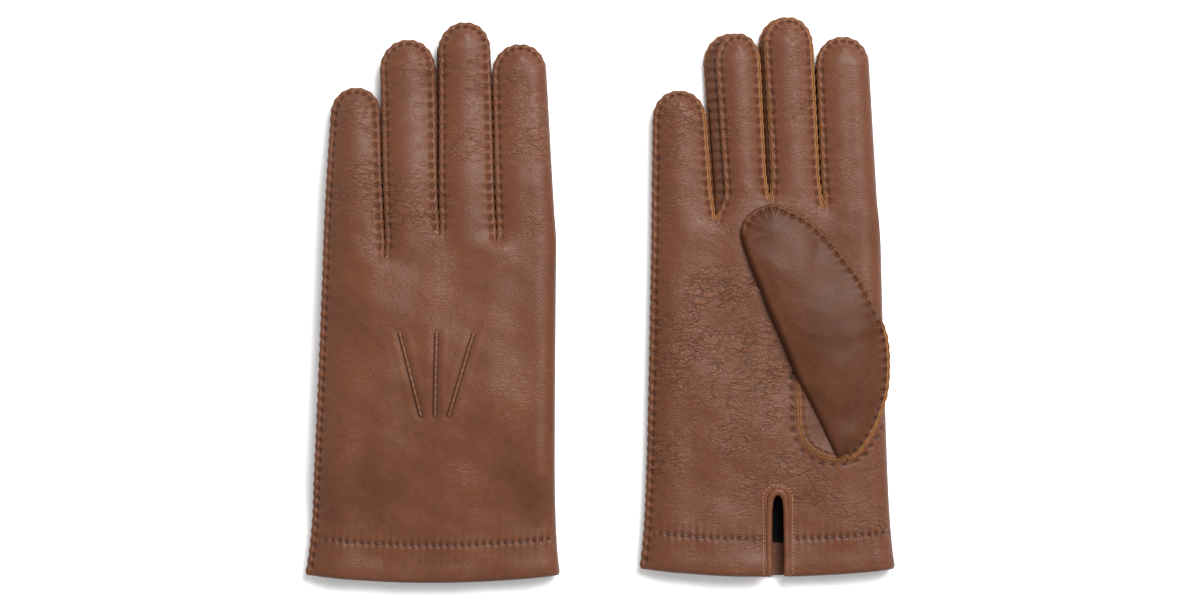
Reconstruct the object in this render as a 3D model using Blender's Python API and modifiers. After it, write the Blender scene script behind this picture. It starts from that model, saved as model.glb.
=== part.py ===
"""A pair of lined leather dress gloves lying flat: the left one back up, the right one palm up.

Each glove is cut and sewn from separate pieces: the trank (back and palm in one skin), fourchettes
between the fingers, a set-in thumb with its quirk, a turned hem, a bound vent in the palm side of
the cuff, three raised points on the back, a lining bag for the hand and each finger, and thread.
Both gloves use the same cut.  Every size is in metres, +Y runs to the fingertips and +Z is up.
"""
import math

import bmesh
import bpy
import numpy as np
from mathutils import Matrix

# Overall sizes of one glove, laid flat
CUFF_WIDTH = 0.114
KNUCKLE_WIDTH = 0.103
FINGER_THICKNESS = 0.0120
HAND_EXTRA = 0.0020          # how much thicker the palm is than the fingers
SIDE_ROUND = 0.0090          # how far in the rounded side of the hand reaches
STATION_GAP = 0.0020         # the least distance between two of the hand's sections
FLARE = 1.3                  # how the width grows from knuckles to cuff: 1 is straight, more is bowed
CUFF_CENTRE_APART = 0.1494   # between the two cuffs' middles
RIGHT_AHEAD = 0.0027         # the right glove lies a little further forward

# Leather, lining and thread
LEATHER = 0.0009
LINING = 0.0007
GAP = 0.0003
LINING_EASE = 0.0004         # slack left for the lining round the rounded sides
LINING_INSET = LEATHER + GAP + LINING_EASE
THREAD_RADIUS = 0.00025
SEAM_RADIUS = 0.0010
SEAM_STEP = 0.0060
SEAM_OVERRUN = 3             # steps that the cut for the outseam runs past the cuff

# Fingers: middle line from the pinky edge, width at root and tip, lean of the tip, lengths from the cuff
FINGERS = {
    "pinky": dict(centre=0.0140, root=0.0270, tip=0.0225, lean=0.0006, hinge=0.1630, end=0.2180),
    "ring": dict(centre=0.0405, root=0.0240, tip=0.0235, lean=-0.0025, hinge=0.1730, end=0.2410),
    "middle": dict(centre=0.0658, root=0.0240, tip=0.0225, lean=-0.0028, hinge=0.1735, end=0.2490),
    "index": dict(centre=0.0909, root=0.0240, tip=0.0235, lean=-0.0028, hinge=0.1690, end=0.2390),
}
FINGER_ROUND = 0.0060        # how far in a finger's rounded side reaches
TIP_LENGTH = 0.0110
FOURCHETTE_DEPTH = 0.0030    # how far a fourchette reaches in from the finger's side
FOURCHETTE_SHORT = 0.0100    # how far it stops short of the tip
HINGE_GAP = 0.0004
FOLD_ROOM = FINGER_THICKNESS / 2 + 0.0006
SLIT_LENGTH = 0.0200
SLIT_WIDTH = 0.0010

# Thumb, folded flat on the palm
THUMB_THICKNESS = 0.0082
THUMB_SPACE = THUMB_THICKNESS + 2 * GAP
THUMB_EDGE = 0.0546          # from the glove's middle line to the thumb's hinge
THUMB_HINGE_MIDDLE = 0.0950  # halfway along that hinge, from the cuff
THUMB_OUTLINE = [
    (0.0022, 0.1645), (0.0150, 0.1605), (0.0295, 0.1484), (0.0460, 0.1260), (0.0530, 0.1040),
    (0.0525, 0.0820), (0.0460, 0.0640), (0.0345, 0.0520), (0.0270, 0.0580), (0.0136, 0.0876),
    (0.0036, 0.1104), (-0.0107, 0.1480), (-0.0080, 0.1600),
]
THUMB_HOLE_CENTRE = (0.0335, 0.0840)
THUMB_HOLE_SIZE = (0.0130, 0.0210)
QUIRK_OUTLINE = [(0.0126, 0.0860), (0.0126, 0.0550), (0.0248, 0.0550)]

# Hem and vent
HEM_LINE = 0.0170
HEM_HALF = 0.0045
HEM_PINCH = 0.0011
TURNUP_LENGTH = 0.0120
VENT_CENTRE = 0.0045
VENT_LENGTH = 0.0385
VENT_HALF_GAP = 0.0025
BINDING_RADIUS = 0.0016

# Three points on the back
POINT_FEET = 0.0740
POINT_HEADS = 0.1120
POINT_FOOT_SPREAD = 0.0060
POINT_HEAD_SPREAD = 0.0165
POINT_WIDTH = 0.0020
POINT_HEIGHT = 0.0009

# Where the leather lifts over the folded thumb, and where a back on the table is hollow
LIFT_STARTS, LIFT_FULL = 0.0220, 0.0500
LIFT_EASES, LIFT_ENDS = 0.1760, 0.2200
HOLLOW_DEPTH = 0.0018
HOLLOW_STARTS, HOLLOW_FULL = 0.0520, 0.0680
HOLLOW_EASES, HOLLOW_ENDS = 0.1200, 0.1360

LENGTH = max(finger["end"] for finger in FINGERS.values())
ROOT_LINE = max(finger["hinge"] for finger in FINGERS.values())
FAR = 0.05                   # how far a cutter reaches past what it cuts

GLOVES = {
    "left": dict(palm_up=False, x=-CUFF_CENTRE_APART / 2, y=-(LENGTH + RIGHT_AHEAD) / 2, lean=0.0240),
    "right": dict(palm_up=True, x=CUFF_CENTRE_APART / 2, y=-(LENGTH - RIGHT_AHEAD) / 2, lean=-0.0040),
}


def ease(value, start, end):
    """0 before start, 1 after end, and a smooth S between them."""
    t = np.clip((np.asarray(value, float) - start) / (end - start), 0.0, 1.0)
    return t * t * (3 - 2 * t)


def material(name, colour, roughness):
    made = bpy.data.materials.new(name)
    made.use_nodes = True
    shader = made.node_tree.nodes["Principled BSDF"]
    shader.inputs["Base Color"].default_value = (*colour, 1.0)
    shader.inputs["Roughness"].default_value = roughness
    return made


def new_object(name, data, collection, finish=None):
    made = bpy.data.objects.new(name, data)
    collection.objects.link(made)
    if finish is not None:
        data.materials.append(finish)
    return made


def as_cutter(made):
    made.hide_render = True
    made.display_type = "WIRE"
    return made


def cut(piece, cutter, operation="DIFFERENCE"):
    boolean = piece.modifiers.new(cutter.name, "BOOLEAN")
    boolean.solver = "EXACT"
    boolean.operation = operation
    boolean.object = cutter


def place(glove, x, v):
    """World X and Y of a point x from the glove's middle line and v from its cuff edge."""
    return glove["x"] + x + glove["lean"] * v, glove["y"] + v


def hem_pinch(v):
    """How far the hem's stitches pull the leather in at v."""
    return HEM_PINCH * max(0.0, 1 - abs(v - HEM_LINE) / HEM_HALF)


def hand_edges(v):
    """Left and right edge of the hand at v: it flares from the knuckles to the cuff."""
    share = np.clip(1 - v / ROOT_LINE, 0, 1)
    half = (KNUCKLE_WIDTH + (CUFF_WIDTH - KNUCKLE_WIDTH) * share ** FLARE) / 2 - hem_pinch(v)
    return -half, half


def lift(glove, v):
    """How far the palm-down glove is lifted at v by the thumb under it."""
    if glove["palm_up"]:
        return 0.0
    return THUMB_SPACE * ease(v, LIFT_STARTS, LIFT_FULL) * (1 - ease(v, LIFT_EASES, LIFT_ENDS))


def heights(glove, v):
    """Lowest and highest level of the leather at v."""
    pinch = hem_pinch(v)
    fuller = HAND_EXTRA * ease(v, LIFT_STARTS, LIFT_FULL)
    fuller *= 1 - ease(v, HOLLOW_ENDS, ROOT_LINE - TIP_LENGTH)
    if glove["palm_up"]:
        low = HOLLOW_DEPTH * ease(v, HOLLOW_STARTS, HOLLOW_FULL) * (1 - ease(v, HOLLOW_EASES, HOLLOW_ENDS))
        return low + pinch, FINGER_THICKNESS + fuller - pinch
    low = lift(glove, v)
    return low + pinch, low + FINGER_THICKNESS + fuller - pinch


def palm_level(glove):
    """Height of the flat part of the palm, where the thumb lies."""
    return FINGER_THICKNESS + HAND_EXTRA if glove["palm_up"] else THUMB_SPACE


def section(x_left, x_right, z_low, z_high, side_round, on_flat, on_side):
    """A ring of points: flat top and bottom with elliptical sides, anticlockwise seen from the cuff."""
    middle, half = (z_low + z_high) / 2, (z_high - z_low) / 2
    angles = np.linspace(-math.pi / 2, math.pi / 2, on_side + 1)
    right = np.stack([x_right - side_round + side_round * np.cos(angles), middle + half * np.sin(angles)], 1)
    left = np.stack([x_left + side_round - side_round * np.cos(angles), middle - half * np.sin(angles)], 1)
    runs = np.linspace(x_right - side_round, x_left + side_round, on_flat + 1)[1:-1]
    top = np.stack([runs, np.full_like(runs, z_high)], 1)
    bottom = np.stack([runs[::-1], np.full_like(runs, z_low)], 1)
    return np.concatenate([right, top, left, bottom])


def lofted(name, glove, rings, stations, wall, collection, finish, tip=None):
    """A sleeve through the rings at their stations, closed at the tip if there is one, given a wall."""
    mesh = bmesh.new()
    rows = []
    for ring, v in zip(rings, stations):
        row = []
        for x, z in ring:
            world_x, world_y = place(glove, x, v)
            row.append(mesh.verts.new((world_x, world_y, z)))
        rows.append(row)
    count = len(rows[0])
    for near, far in zip(rows, rows[1:]):
        for i in range(count):
            j = (i + 1) % count
            mesh.faces.new((near[i], far[i], far[j], near[j]))
    if tip is not None:
        world_x, world_y = place(glove, tip[0], tip[1])
        point = mesh.verts.new((world_x, world_y, tip[2]))
        for i in range(count):
            mesh.faces.new((rows[-1][i], point, rows[-1][(i + 1) % count]))
    data = bpy.data.meshes.new(name)
    mesh.to_mesh(data)
    mesh.free()
    data.shade_smooth()
    made = new_object(name, data, collection, finish)
    shell = made.modifiers.new("wall", "SOLIDIFY")
    shell.thickness = wall
    shell.offset = -1.0
    shell.use_even_offset = True
    return made


def hand_sleeve(name, glove, start, end, inset, wall, collection, finish, on_flat=6, on_side=5):
    """The hand from start to end, inset by a distance from the outer leather."""
    steps = [HEM_LINE - HEM_HALF, HEM_LINE, HEM_LINE + HEM_HALF, *np.linspace(LIFT_STARTS, LIFT_FULL, 5)[1:],
             HOLLOW_FULL, (HOLLOW_FULL + HOLLOW_EASES) / 2, HOLLOW_EASES, HOLLOW_ENDS,
             (HOLLOW_ENDS + ROOT_LINE) / 2]
    stations = [start] + [v for v in steps if start + STATION_GAP < v < end - STATION_GAP] + [end]
    rings = []
    for v in stations:
        left, right = hand_edges(v)
        low, high = heights(glove, v)
        rings.append(section(left + inset, right - inset, low + inset, high - inset,
                             SIDE_ROUND - inset, on_flat, on_side))
    return lofted(name, glove, rings, stations, wall, collection, finish)


def finger_line(finger, v):
    """Middle and half width of a finger at v."""
    along = (v - finger["hinge"]) / (finger["end"] - finger["hinge"])
    middle = finger["centre"] - KNUCKLE_WIDTH / 2 + finger["lean"] * along
    return middle, (finger["root"] + (finger["tip"] - finger["root"]) * along) / 2


def finger_sleeve(name, glove, finger, inset, wall, collection, finish, on_flat=2, on_side=4):
    """A finger from its hinge to a rounded, closed tip."""
    tip_length = TIP_LENGTH - inset
    tip_start = finger["end"] - TIP_LENGTH
    stations = list(np.linspace(finger["hinge"], tip_start, 4))
    shrink = [1.0] * len(stations)
    for angle in (35, 65):
        stations.append(tip_start + tip_length * math.sin(math.radians(angle)))
        shrink.append(math.cos(math.radians(angle)))
    rings = []
    for v, scale in zip(stations, shrink):
        middle, half = finger_line(finger, v)
        low, high = heights(glove, v)
        centre, rise = (low + high) / 2, (FINGER_THICKNESS / 2 - inset) * scale
        half = (half - inset) * scale
        rings.append(section(middle - half, middle + half, centre - rise, centre + rise,
                             (FINGER_ROUND - inset) * scale, on_flat, on_side))
    end = tip_start + tip_length
    tip = (finger_line(finger, end)[0], end, sum(heights(glove, end)) / 2)
    return lofted(name, glove, rings, stations, wall, collection, finish, tip)


def flat_outline(name, points, z_low, z_high, collection, finish=None):
    """A closed flat outline with a thickness, as a mesh."""
    curve = bpy.data.curves.new(name, "CURVE")
    curve.dimensions = "2D"
    curve.fill_mode = "BOTH"
    curve.extrude = (z_high - z_low) / 2
    spline = curve.splines.new("POLY")
    spline.points.add(len(points) - 1)
    for point, (x, y) in zip(spline.points, points):
        point.co = (x, y, 0.0, 1.0)
    spline.use_cyclic_u = True
    return curve_to_mesh(name, curve, (z_low + z_high) / 2, collection, finish)


def curve_to_mesh(name, curve, level, collection, finish=None):
    """Turn a curve into a closed mesh object with its caps welded on."""
    holder = bpy.data.objects.new(name + "_curve", curve)
    collection.objects.link(holder)
    holder.location.z = level
    graph = bpy.context.evaluated_depsgraph_get()
    data = bpy.data.meshes.new_from_object(holder.evaluated_get(graph))
    data.name = name
    mesh = bmesh.new()
    mesh.from_mesh(data)
    bmesh.ops.remove_doubles(mesh, verts=mesh.verts, dist=0.00001)
    bmesh.ops.recalc_face_normals(mesh, faces=mesh.faces)
    mesh.to_mesh(data)
    mesh.free()
    data.materials.clear()
    made = new_object(name, data, collection, finish)
    made.matrix_world = holder.matrix_world.copy()
    made.location.z = level
    bpy.data.objects.remove(holder)
    return made


def thread_curve(name, points, radius, closed, resolution):
    """A round thread or cord along the points."""
    curve = bpy.data.curves.new(name, "CURVE")
    curve.dimensions = "3D"
    curve.bevel_depth = radius
    curve.bevel_resolution = resolution
    curve.use_fill_caps = not closed
    spline = curve.splines.new("POLY")
    spline.points.add(len(points) - 1)
    for point, place_at in zip(spline.points, points):
        point.co = (*place_at, 1.0)
    spline.use_cyclic_u = closed
    return curve


def smooth_loop(points, per_step):
    """A closed smooth curve through the points (Catmull-Rom), with per_step samples to each."""
    knots = np.array(points)
    before, after, later = np.roll(knots, 1, 0), np.roll(knots, -1, 0), np.roll(knots, -2, 0)
    samples = []
    for t in np.arange(per_step) / per_step:
        samples.append(0.5 * (2 * knots + (after - before) * t
                              + (2 * before - 5 * knots + 4 * after - later) * t ** 2
                              + (3 * knots - before - 3 * after + later) * t ** 3))
    return np.stack(samples, 1).reshape(-1, 2)


def inset_loop(points, distance):
    """Move a clockwise loop inward by a distance along its own normals."""
    along = np.roll(points, -1, 0) - np.roll(points, 1, 0)
    along /= np.linalg.norm(along, axis=1, keepdims=True)
    return points + distance * np.stack([along[:, 1], -along[:, 0]], 1)


def placed_loop(glove, points):
    return [place(glove, x, v) for x, v in points]


def knuckle_cutters(side, glove, cutters):
    """Two cutters that end the hand at the fingers: through everything, and earlier on the palm side."""
    line, early = [], []
    names = list(FINGERS)
    for number, name in enumerate(names):
        finger = FINGERS[name]
        middle, half = finger_line(finger, finger["hinge"])
        left = -CUFF_WIDTH if number == 0 else middle - half - GAP
        right = CUFF_WIDTH if number == len(names) - 1 else middle + half + GAP
        for x in (left, right):
            line.append((x, finger["hinge"] - HINGE_GAP))
            early.append((x, finger["hinge"] - FOLD_ROOM))
    corners = [(CUFF_WIDTH, LENGTH), (-CUFF_WIDTH, LENGTH)]
    low, high = heights(glove, ROOT_LINE)
    middle = (low + high) / 2
    through = flat_outline(side + "_knuckle_cutter", placed_loop(glove, line + corners), -FAR, FAR, cutters)
    reach = (middle - GAP, FAR) if glove["palm_up"] else (-FAR, middle + GAP)
    palm = flat_outline(side + "_fold_cutter", placed_loop(glove, early + corners), *reach, cutters)
    return as_cutter(through), as_cutter(palm)


def make_slits(side, glove, cutters):
    """The slits in the back between the fingers, which the fourchettes run down into."""
    low, high = heights(glove, ROOT_LINE)
    middle = (low + high) / 2
    reach = (-FAR, middle) if glove["palm_up"] else (middle, FAR)
    names = list(FINGERS)
    made = []
    for first, second in zip(names, names[1:]):
        x_first, half_first = finger_line(FINGERS[first], FINGERS[first]["hinge"])
        x_second, half_second = finger_line(FINGERS[second], FINGERS[second]["hinge"])
        x = (x_first + half_first + x_second - half_second) / 2
        end = min(FINGERS[first]["hinge"], FINGERS[second]["hinge"])
        outline = [(x - SLIT_WIDTH / 2, end - SLIT_LENGTH), (x + SLIT_WIDTH / 2, end - SLIT_LENGTH),
                   (x + SLIT_WIDTH / 2, ROOT_LINE + GAP), (x - SLIT_WIDTH / 2, ROOT_LINE + GAP)]
        name = f"{side}_slit_{first}_{second}"
        made.append(as_cutter(flat_outline(name, placed_loop(glove, outline), *reach, cutters)))
    return made


def vent_cutter(side, glove, cutters):
    """A slot with a round top in the palm side of the cuff, as wide as its binding needs."""
    half = VENT_HALF_GAP + 2 * BINDING_RADIUS + GAP
    top = VENT_LENGTH + 2 * BINDING_RADIUS + GAP - half
    levels = [-FAR, *np.linspace(LIFT_STARTS, top, 4)[:-1]]
    outline = [(VENT_CENTRE - half, v) for v in levels]
    for angle in np.linspace(math.pi, 0, 9):
        outline.append((VENT_CENTRE + half * math.cos(angle), top + half * math.sin(angle)))
    outline += [(VENT_CENTRE + half, v) for v in reversed(levels)]
    back_wall = LINING_INSET + LINING + GAP
    reach = (back_wall, FAR) if glove["palm_up"] else (-FAR, FINGER_THICKNESS - back_wall)
    made = flat_outline(side + "_vent_cutter", placed_loop(glove, outline), *reach, cutters)
    for vertex in made.data.vertices:
        vertex.co.z += lift(glove, vertex.co.y - glove["y"])
    return as_cutter(made)


def thumb_hole_cutter(side, glove, cutters):
    """An oval through the palm leather, its lining and the near side of the thumb."""
    x, y = place(glove, *THUMB_HOLE_CENTRE)
    level = palm_level(glove)
    bpy.ops.mesh.primitive_cylinder_add(vertices=20, radius=1.0, depth=THUMB_THICKNESS,
                                        location=(x, y, level))
    made = bpy.context.active_object
    made.name = side + "_thumb_hole_cutter"
    made.scale = (*THUMB_HOLE_SIZE, 1.0)
    bpy.ops.object.transform_apply(location=False, rotation=False, scale=True)
    for holder in list(made.users_collection):
        holder.objects.unlink(made)
    cutters.objects.link(made)
    return as_cutter(made)


def make_hand(side, glove, parts, cutters, finishes):
    """The trank's hand, its turned hem and its lining."""
    through, palm = knuckle_cutters(side, glove, cutters)
    vent = vent_cutter(side, glove, cutters)
    hole = thumb_hole_cutter(side, glove, cutters)
    trank = hand_sleeve(side + "_trank_hand", glove, 0.0, ROOT_LINE, 0.0, LEATHER, parts,
                        finishes["leather"])
    seam_path = outseam_path(glove, -SEAM_OVERRUN, LENGTH // SEAM_STEP)
    seam = thread_curve(side + "_outseam_cutter", seam_path, SEAM_RADIUS, False, 1)
    seam = as_cutter(curve_to_mesh(side + "_outseam_cutter", seam, 0.0, cutters))
    for cutter in [through, palm, vent, hole, seam, *make_slits(side, glove, cutters)]:
        cut(trank, cutter)
    turnup = hand_sleeve(side + "_hem_turnup", glove, GAP, TURNUP_LENGTH, LINING_INSET, LEATHER,
                         parts, finishes["leather"])
    cut(turnup, vent)
    lining = hand_sleeve(side + "_lining_hand", glove, HEM_LINE + HEM_HALF + GAP, ROOT_LINE,
                         LINING_INSET, LINING, parts, finishes["lining"], 4, 3)
    for cutter in (through, palm, vent, hole):
        cut(lining, cutter)
    return hole


def outseam_path(glove, first, last):
    """Along the pinky edge, halfway through the leather, from one step of the seam to another."""
    points = []
    for v in np.arange(first, last + 1) * SEAM_STEP:
        x, y = place(glove, hand_edges(v)[0] + LEATHER / 2, v)
        points.append((x, y, sum(heights(glove, min(v, ROOT_LINE))) / 2))
    return points


def side_strip(glove, finger, hand_side, extra):
    """Outline of the strip along one side of a finger that its fourchette fills."""
    top = finger["end"] - FOURCHETTE_SHORT + extra
    points = []
    for v in (finger["hinge"] - FAR / 10, top):
        middle, half = finger_line(finger, v)
        outer = middle + hand_side * (half + FOURCHETTE_DEPTH)
        inner = middle + hand_side * (half - FOURCHETTE_DEPTH - extra)
        points.append((outer, inner, v))
    (outer_a, inner_a, v_a), (outer_b, inner_b, v_b) = points
    return placed_loop(glove, [(outer_a, v_a), (inner_a, v_a), (inner_b, v_b), (outer_b, v_b)])


def make_fingers(side, glove, parts, cutters, finishes):
    """Each finger's leather, the fourchettes in its sides and its lining."""
    names = list(FINGERS)
    for number, name in enumerate(names):
        finger = FINGERS[name]
        trank = finger_sleeve(f"{side}_trank_{name}", glove, finger, 0.0, LEATHER, parts,
                              finishes["leather"])
        neighbours = []
        if number > 0:
            neighbours.append((-1, names[number - 1]))
        if number < len(names) - 1:
            neighbours.append((1, names[number + 1]))
        for hand_side, neighbour in neighbours:
            label = f"{side}_fourchette_{name}_by_{neighbour}"
            wide = flat_outline(label + "_opening", side_strip(glove, finger, hand_side, GAP),
                                -FAR, FAR, cutters)
            exact = flat_outline(label + "_strip", side_strip(glove, finger, hand_side, 0.0),
                                 -FAR, FAR, cutters)
            cut(trank, as_cutter(wide))
            wall = finger_sleeve(label, glove, finger, 0.0, LEATHER, parts, finishes["side"])
            cut(wall, as_cutter(exact), "INTERSECT")
        finger_sleeve(f"{side}_lining_{name}", glove, finger, LINING_INSET, LINING, parts,
                      finishes["lining"], 2, 3)


def make_thumb(side, glove, hole, parts, cutters, finishes):
    """The thumb, folded flat on the palm and open to the hand through the hole, with its lining."""
    loop = smooth_loop(THUMB_OUTLINE, 2)
    level = palm_level(glove)
    if glove["palm_up"]:
        low, high = level + GAP, level + GAP + THUMB_THICKNESS
    else:
        low, high = level - GAP - THUMB_THICKNESS, level - GAP
    layers = [("_thumb", 0.0, LEATHER, "leather"), ("_lining_thumb", LEATHER + GAP, LINING, "lining")]
    for label, inset, wall, finish in layers:
        outer = flat_outline(side + label, placed_loop(glove, inset_loop(loop, inset)),
                             low + inset, high - inset, parts, finishes[finish])
        deeper = inset + wall
        inner = flat_outline(side + label + "_hollow", placed_loop(glove, inset_loop(loop, deeper)),
                             low + deeper, high - deeper, cutters)
        cut(outer, as_cutter(inner))
        cut(outer, hole)
    if glove["palm_up"]:
        quirk_low = level + GAP
    else:
        quirk_low = level - GAP - LEATHER
    flat_outline(side + "_thumb_quirk", placed_loop(glove, QUIRK_OUTLINE), quirk_low,
                 quirk_low + LEATHER, parts, finishes["side"])


def make_binding(side, glove, parts, finishes):
    """A rolled leather binding round the vent, up one side, over the top and down the other."""
    half = VENT_HALF_GAP + BINDING_RADIUS
    top = VENT_LENGTH + BINDING_RADIUS - half
    route = [(VENT_CENTRE - half, v) for v in np.linspace(GAP, top, 6)]
    for angle in np.linspace(math.pi, 0, 7)[1:-1]:
        route.append((VENT_CENTRE + half * math.cos(angle), top + half * math.sin(angle)))
    route += [(VENT_CENTRE + half, v) for v in np.linspace(top, GAP, 6)]
    points = []
    for x, v in route:
        low, high = heights(glove, v)
        level = high - BINDING_RADIUS if glove["palm_up"] else low + BINDING_RADIUS
        points.append((*place(glove, x, v), level))
    curve = thread_curve(side + "_vent_binding", points, BINDING_RADIUS, False, 1)
    curve_to_mesh(side + "_vent_binding", curve, 0.0, parts, finishes["leather"])


def make_points(side, glove, parts, finishes):
    """Three straight raised tucks that fan out over the back of the hand."""
    low, high = heights(glove, (POINT_FEET + POINT_HEADS) / 2)
    centre = low - GAP - POINT_HEIGHT / 2 if glove["palm_up"] else high + GAP + POINT_HEIGHT / 2
    for name, way in (("pinky", -1), ("middle", 0), ("index", 1)):
        foot, head = way * POINT_FOOT_SPREAD, way * POINT_HEAD_SPREAD
        half = POINT_WIDTH / 2
        outline = [(foot - half, POINT_FEET), (foot + half, POINT_FEET),
                   (head + half, POINT_HEADS), (head - half, POINT_HEADS)]
        made = flat_outline(f"{side}_point_{name}", placed_loop(glove, outline),
                            centre - POINT_HEIGHT / 2, centre + POINT_HEIGHT / 2, parts,
                            finishes["leather"])
        bevel = made.modifiers.new("soft edge", "BEVEL")
        bevel.width = POINT_HEIGHT / 4
        bevel.segments = 1


def make_threads(side, glove, parts, finishes):
    """The thread of the hem, of the outseam and of the thumb's seam."""
    low, high = heights(glove, HEM_LINE)
    left, right = hand_edges(HEM_LINE)
    raised = HEM_PINCH / 2
    ring = section(left - raised, right + raised, low - raised, high + raised,
                   SIDE_ROUND + raised, 6, 5)
    clear = VENT_HALF_GAP + 2 * BINDING_RADIUS + 4 * GAP
    palm_side = ring[:, 1] > (low + high) / 2 if glove["palm_up"] else ring[:, 1] < (low + high) / 2
    in_vent = palm_side & (np.abs(ring[:, 0] - VENT_CENTRE) < clear)
    first = int(np.flatnonzero(in_vent)[-1]) + 1
    ring = np.roll(ring, -first, 0)[: len(ring) - int(in_vent.sum())]
    points = [(*place(glove, x, HEM_LINE), z) for x, z in ring]
    curve = thread_curve(side + "_hem_thread", points, THREAD_RADIUS, False, 1)
    curve_to_mesh(side + "_hem_thread", curve, 0.0, parts, finishes["thread"])

    after_hem = (HEM_LINE + HEM_HALF) // SEAM_STEP + 1
    before_fold = (FINGERS["pinky"]["hinge"] - FOLD_ROOM) // SEAM_STEP
    path = outseam_path(glove, after_hem, before_fold)
    curve = thread_curve(side + "_outseam_thread", path, THREAD_RADIUS, False, 1)
    curve_to_mesh(side + "_outseam_thread", curve, 0.0, parts, finishes["thread"])

    level = palm_level(glove) + (-1 if glove["palm_up"] else 1) * LEATHER / 2
    x, y = place(glove, *THUMB_HOLE_CENTRE)
    inside = GAP + THREAD_RADIUS * 2
    points = []
    for angle in np.arange(18) * math.tau / 18:
        points.append((x + (THUMB_HOLE_SIZE[0] - inside) * math.cos(angle),
                       y + (THUMB_HOLE_SIZE[1] - inside) * math.sin(angle), level))
    curve = thread_curve(side + "_thumb_seam_thread", points, THREAD_RADIUS, True, 1)
    curve_to_mesh(side + "_thumb_seam_thread", curve, 0.0, parts, finishes["thread"])


def hang_on(empty_name, location, pieces, collection):
    """Parent the pieces to an empty on their hinge, where they already are."""
    empty = new_object(empty_name, None, collection)
    empty.location = location
    for piece in pieces:
        piece.parent = empty
        piece.matrix_parent_inverse = Matrix.Translation(location).inverted()


def make_hinges(side, glove, parts):
    """An empty on the hinge of each finger and of the thumb, with the pieces that swing about it."""
    for name, finger in FINGERS.items():
        x, y = place(glove, finger_line(finger, finger["hinge"])[0], finger["hinge"])
        level = sum(heights(glove, finger["hinge"])) / 2
        starts = (f"{side}_trank_{name}", f"{side}_lining_{name}", f"{side}_fourchette_{name}_")
        pieces = [piece for piece in parts.objects if piece.name.startswith(starts)]
        hang_on(f"{side}_{name}_hinge", (x, y, level), pieces, parts)
    x, y = place(glove, THUMB_EDGE, THUMB_HINGE_MIDDLE)
    off_palm = (1 if glove["palm_up"] else -1) * (GAP + THUMB_THICKNESS / 2)
    names = (side + "_thumb", side + "_lining_thumb")
    pieces = [parts.objects[name] for name in names]
    hang_on(side + "_thumb_hinge", (x, y, palm_level(glove) + off_palm), pieces, parts)


def make_glove(side, glove, parts, cutters, finishes):
    hole = make_hand(side, glove, parts, cutters, finishes)
    make_fingers(side, glove, parts, cutters, finishes)
    make_thumb(side, glove, hole, parts, cutters, finishes)
    make_binding(side, glove, parts, finishes)
    make_points(side, glove, parts, finishes)
    make_threads(side, glove, parts, finishes)
    make_hinges(side, glove, parts)


def main():
    for old in list(bpy.data.objects):
        bpy.data.objects.remove(old)
    parts = bpy.data.collections.new("leather_gloves")
    cutters = bpy.data.collections.new("cutters")
    bpy.context.scene.collection.children.link(parts)
    bpy.context.scene.collection.children.link(cutters)
    finishes = {
        "leather": material("brown_leather", (0.19, 0.075, 0.035), 0.55),
        "side": material("brown_side_leather", (0.16, 0.062, 0.030), 0.60),
        "lining": material("black_lining", (0.010, 0.010, 0.011), 0.90),
        "thread": material("brown_thread", (0.12, 0.045, 0.022), 0.65),
    }
    for side, glove in GLOVES.items():
        make_glove(side, glove, parts, cutters, finishes)


main()
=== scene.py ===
"""A pair of lined leather dress gloves laid flat side by side: the left back up, the right palm up."""
import math

import bmesh
import bpy
import numpy as np
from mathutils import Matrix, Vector


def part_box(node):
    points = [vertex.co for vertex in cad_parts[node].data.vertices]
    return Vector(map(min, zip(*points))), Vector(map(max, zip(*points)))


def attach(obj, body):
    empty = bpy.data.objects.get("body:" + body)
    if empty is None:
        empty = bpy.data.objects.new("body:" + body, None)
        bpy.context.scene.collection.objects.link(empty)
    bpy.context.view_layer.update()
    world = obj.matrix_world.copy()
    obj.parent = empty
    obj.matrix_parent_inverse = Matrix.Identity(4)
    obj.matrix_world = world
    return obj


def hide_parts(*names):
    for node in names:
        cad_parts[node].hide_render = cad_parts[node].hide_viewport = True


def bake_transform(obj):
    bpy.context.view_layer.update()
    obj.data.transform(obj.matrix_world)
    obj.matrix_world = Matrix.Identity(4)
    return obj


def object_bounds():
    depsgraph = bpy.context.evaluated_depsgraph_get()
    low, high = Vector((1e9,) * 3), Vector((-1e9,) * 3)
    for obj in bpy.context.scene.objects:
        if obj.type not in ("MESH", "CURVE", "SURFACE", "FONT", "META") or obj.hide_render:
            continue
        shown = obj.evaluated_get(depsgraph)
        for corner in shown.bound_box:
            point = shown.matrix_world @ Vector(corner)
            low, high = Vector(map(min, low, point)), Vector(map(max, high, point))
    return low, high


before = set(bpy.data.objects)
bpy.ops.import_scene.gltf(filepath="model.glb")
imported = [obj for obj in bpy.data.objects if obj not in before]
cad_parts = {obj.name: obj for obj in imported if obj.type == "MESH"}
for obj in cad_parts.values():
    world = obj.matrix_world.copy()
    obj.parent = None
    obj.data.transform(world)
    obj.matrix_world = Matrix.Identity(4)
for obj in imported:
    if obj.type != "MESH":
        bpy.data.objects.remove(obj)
cad_box = [list(corner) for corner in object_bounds()]
MM = 0.001


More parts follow.
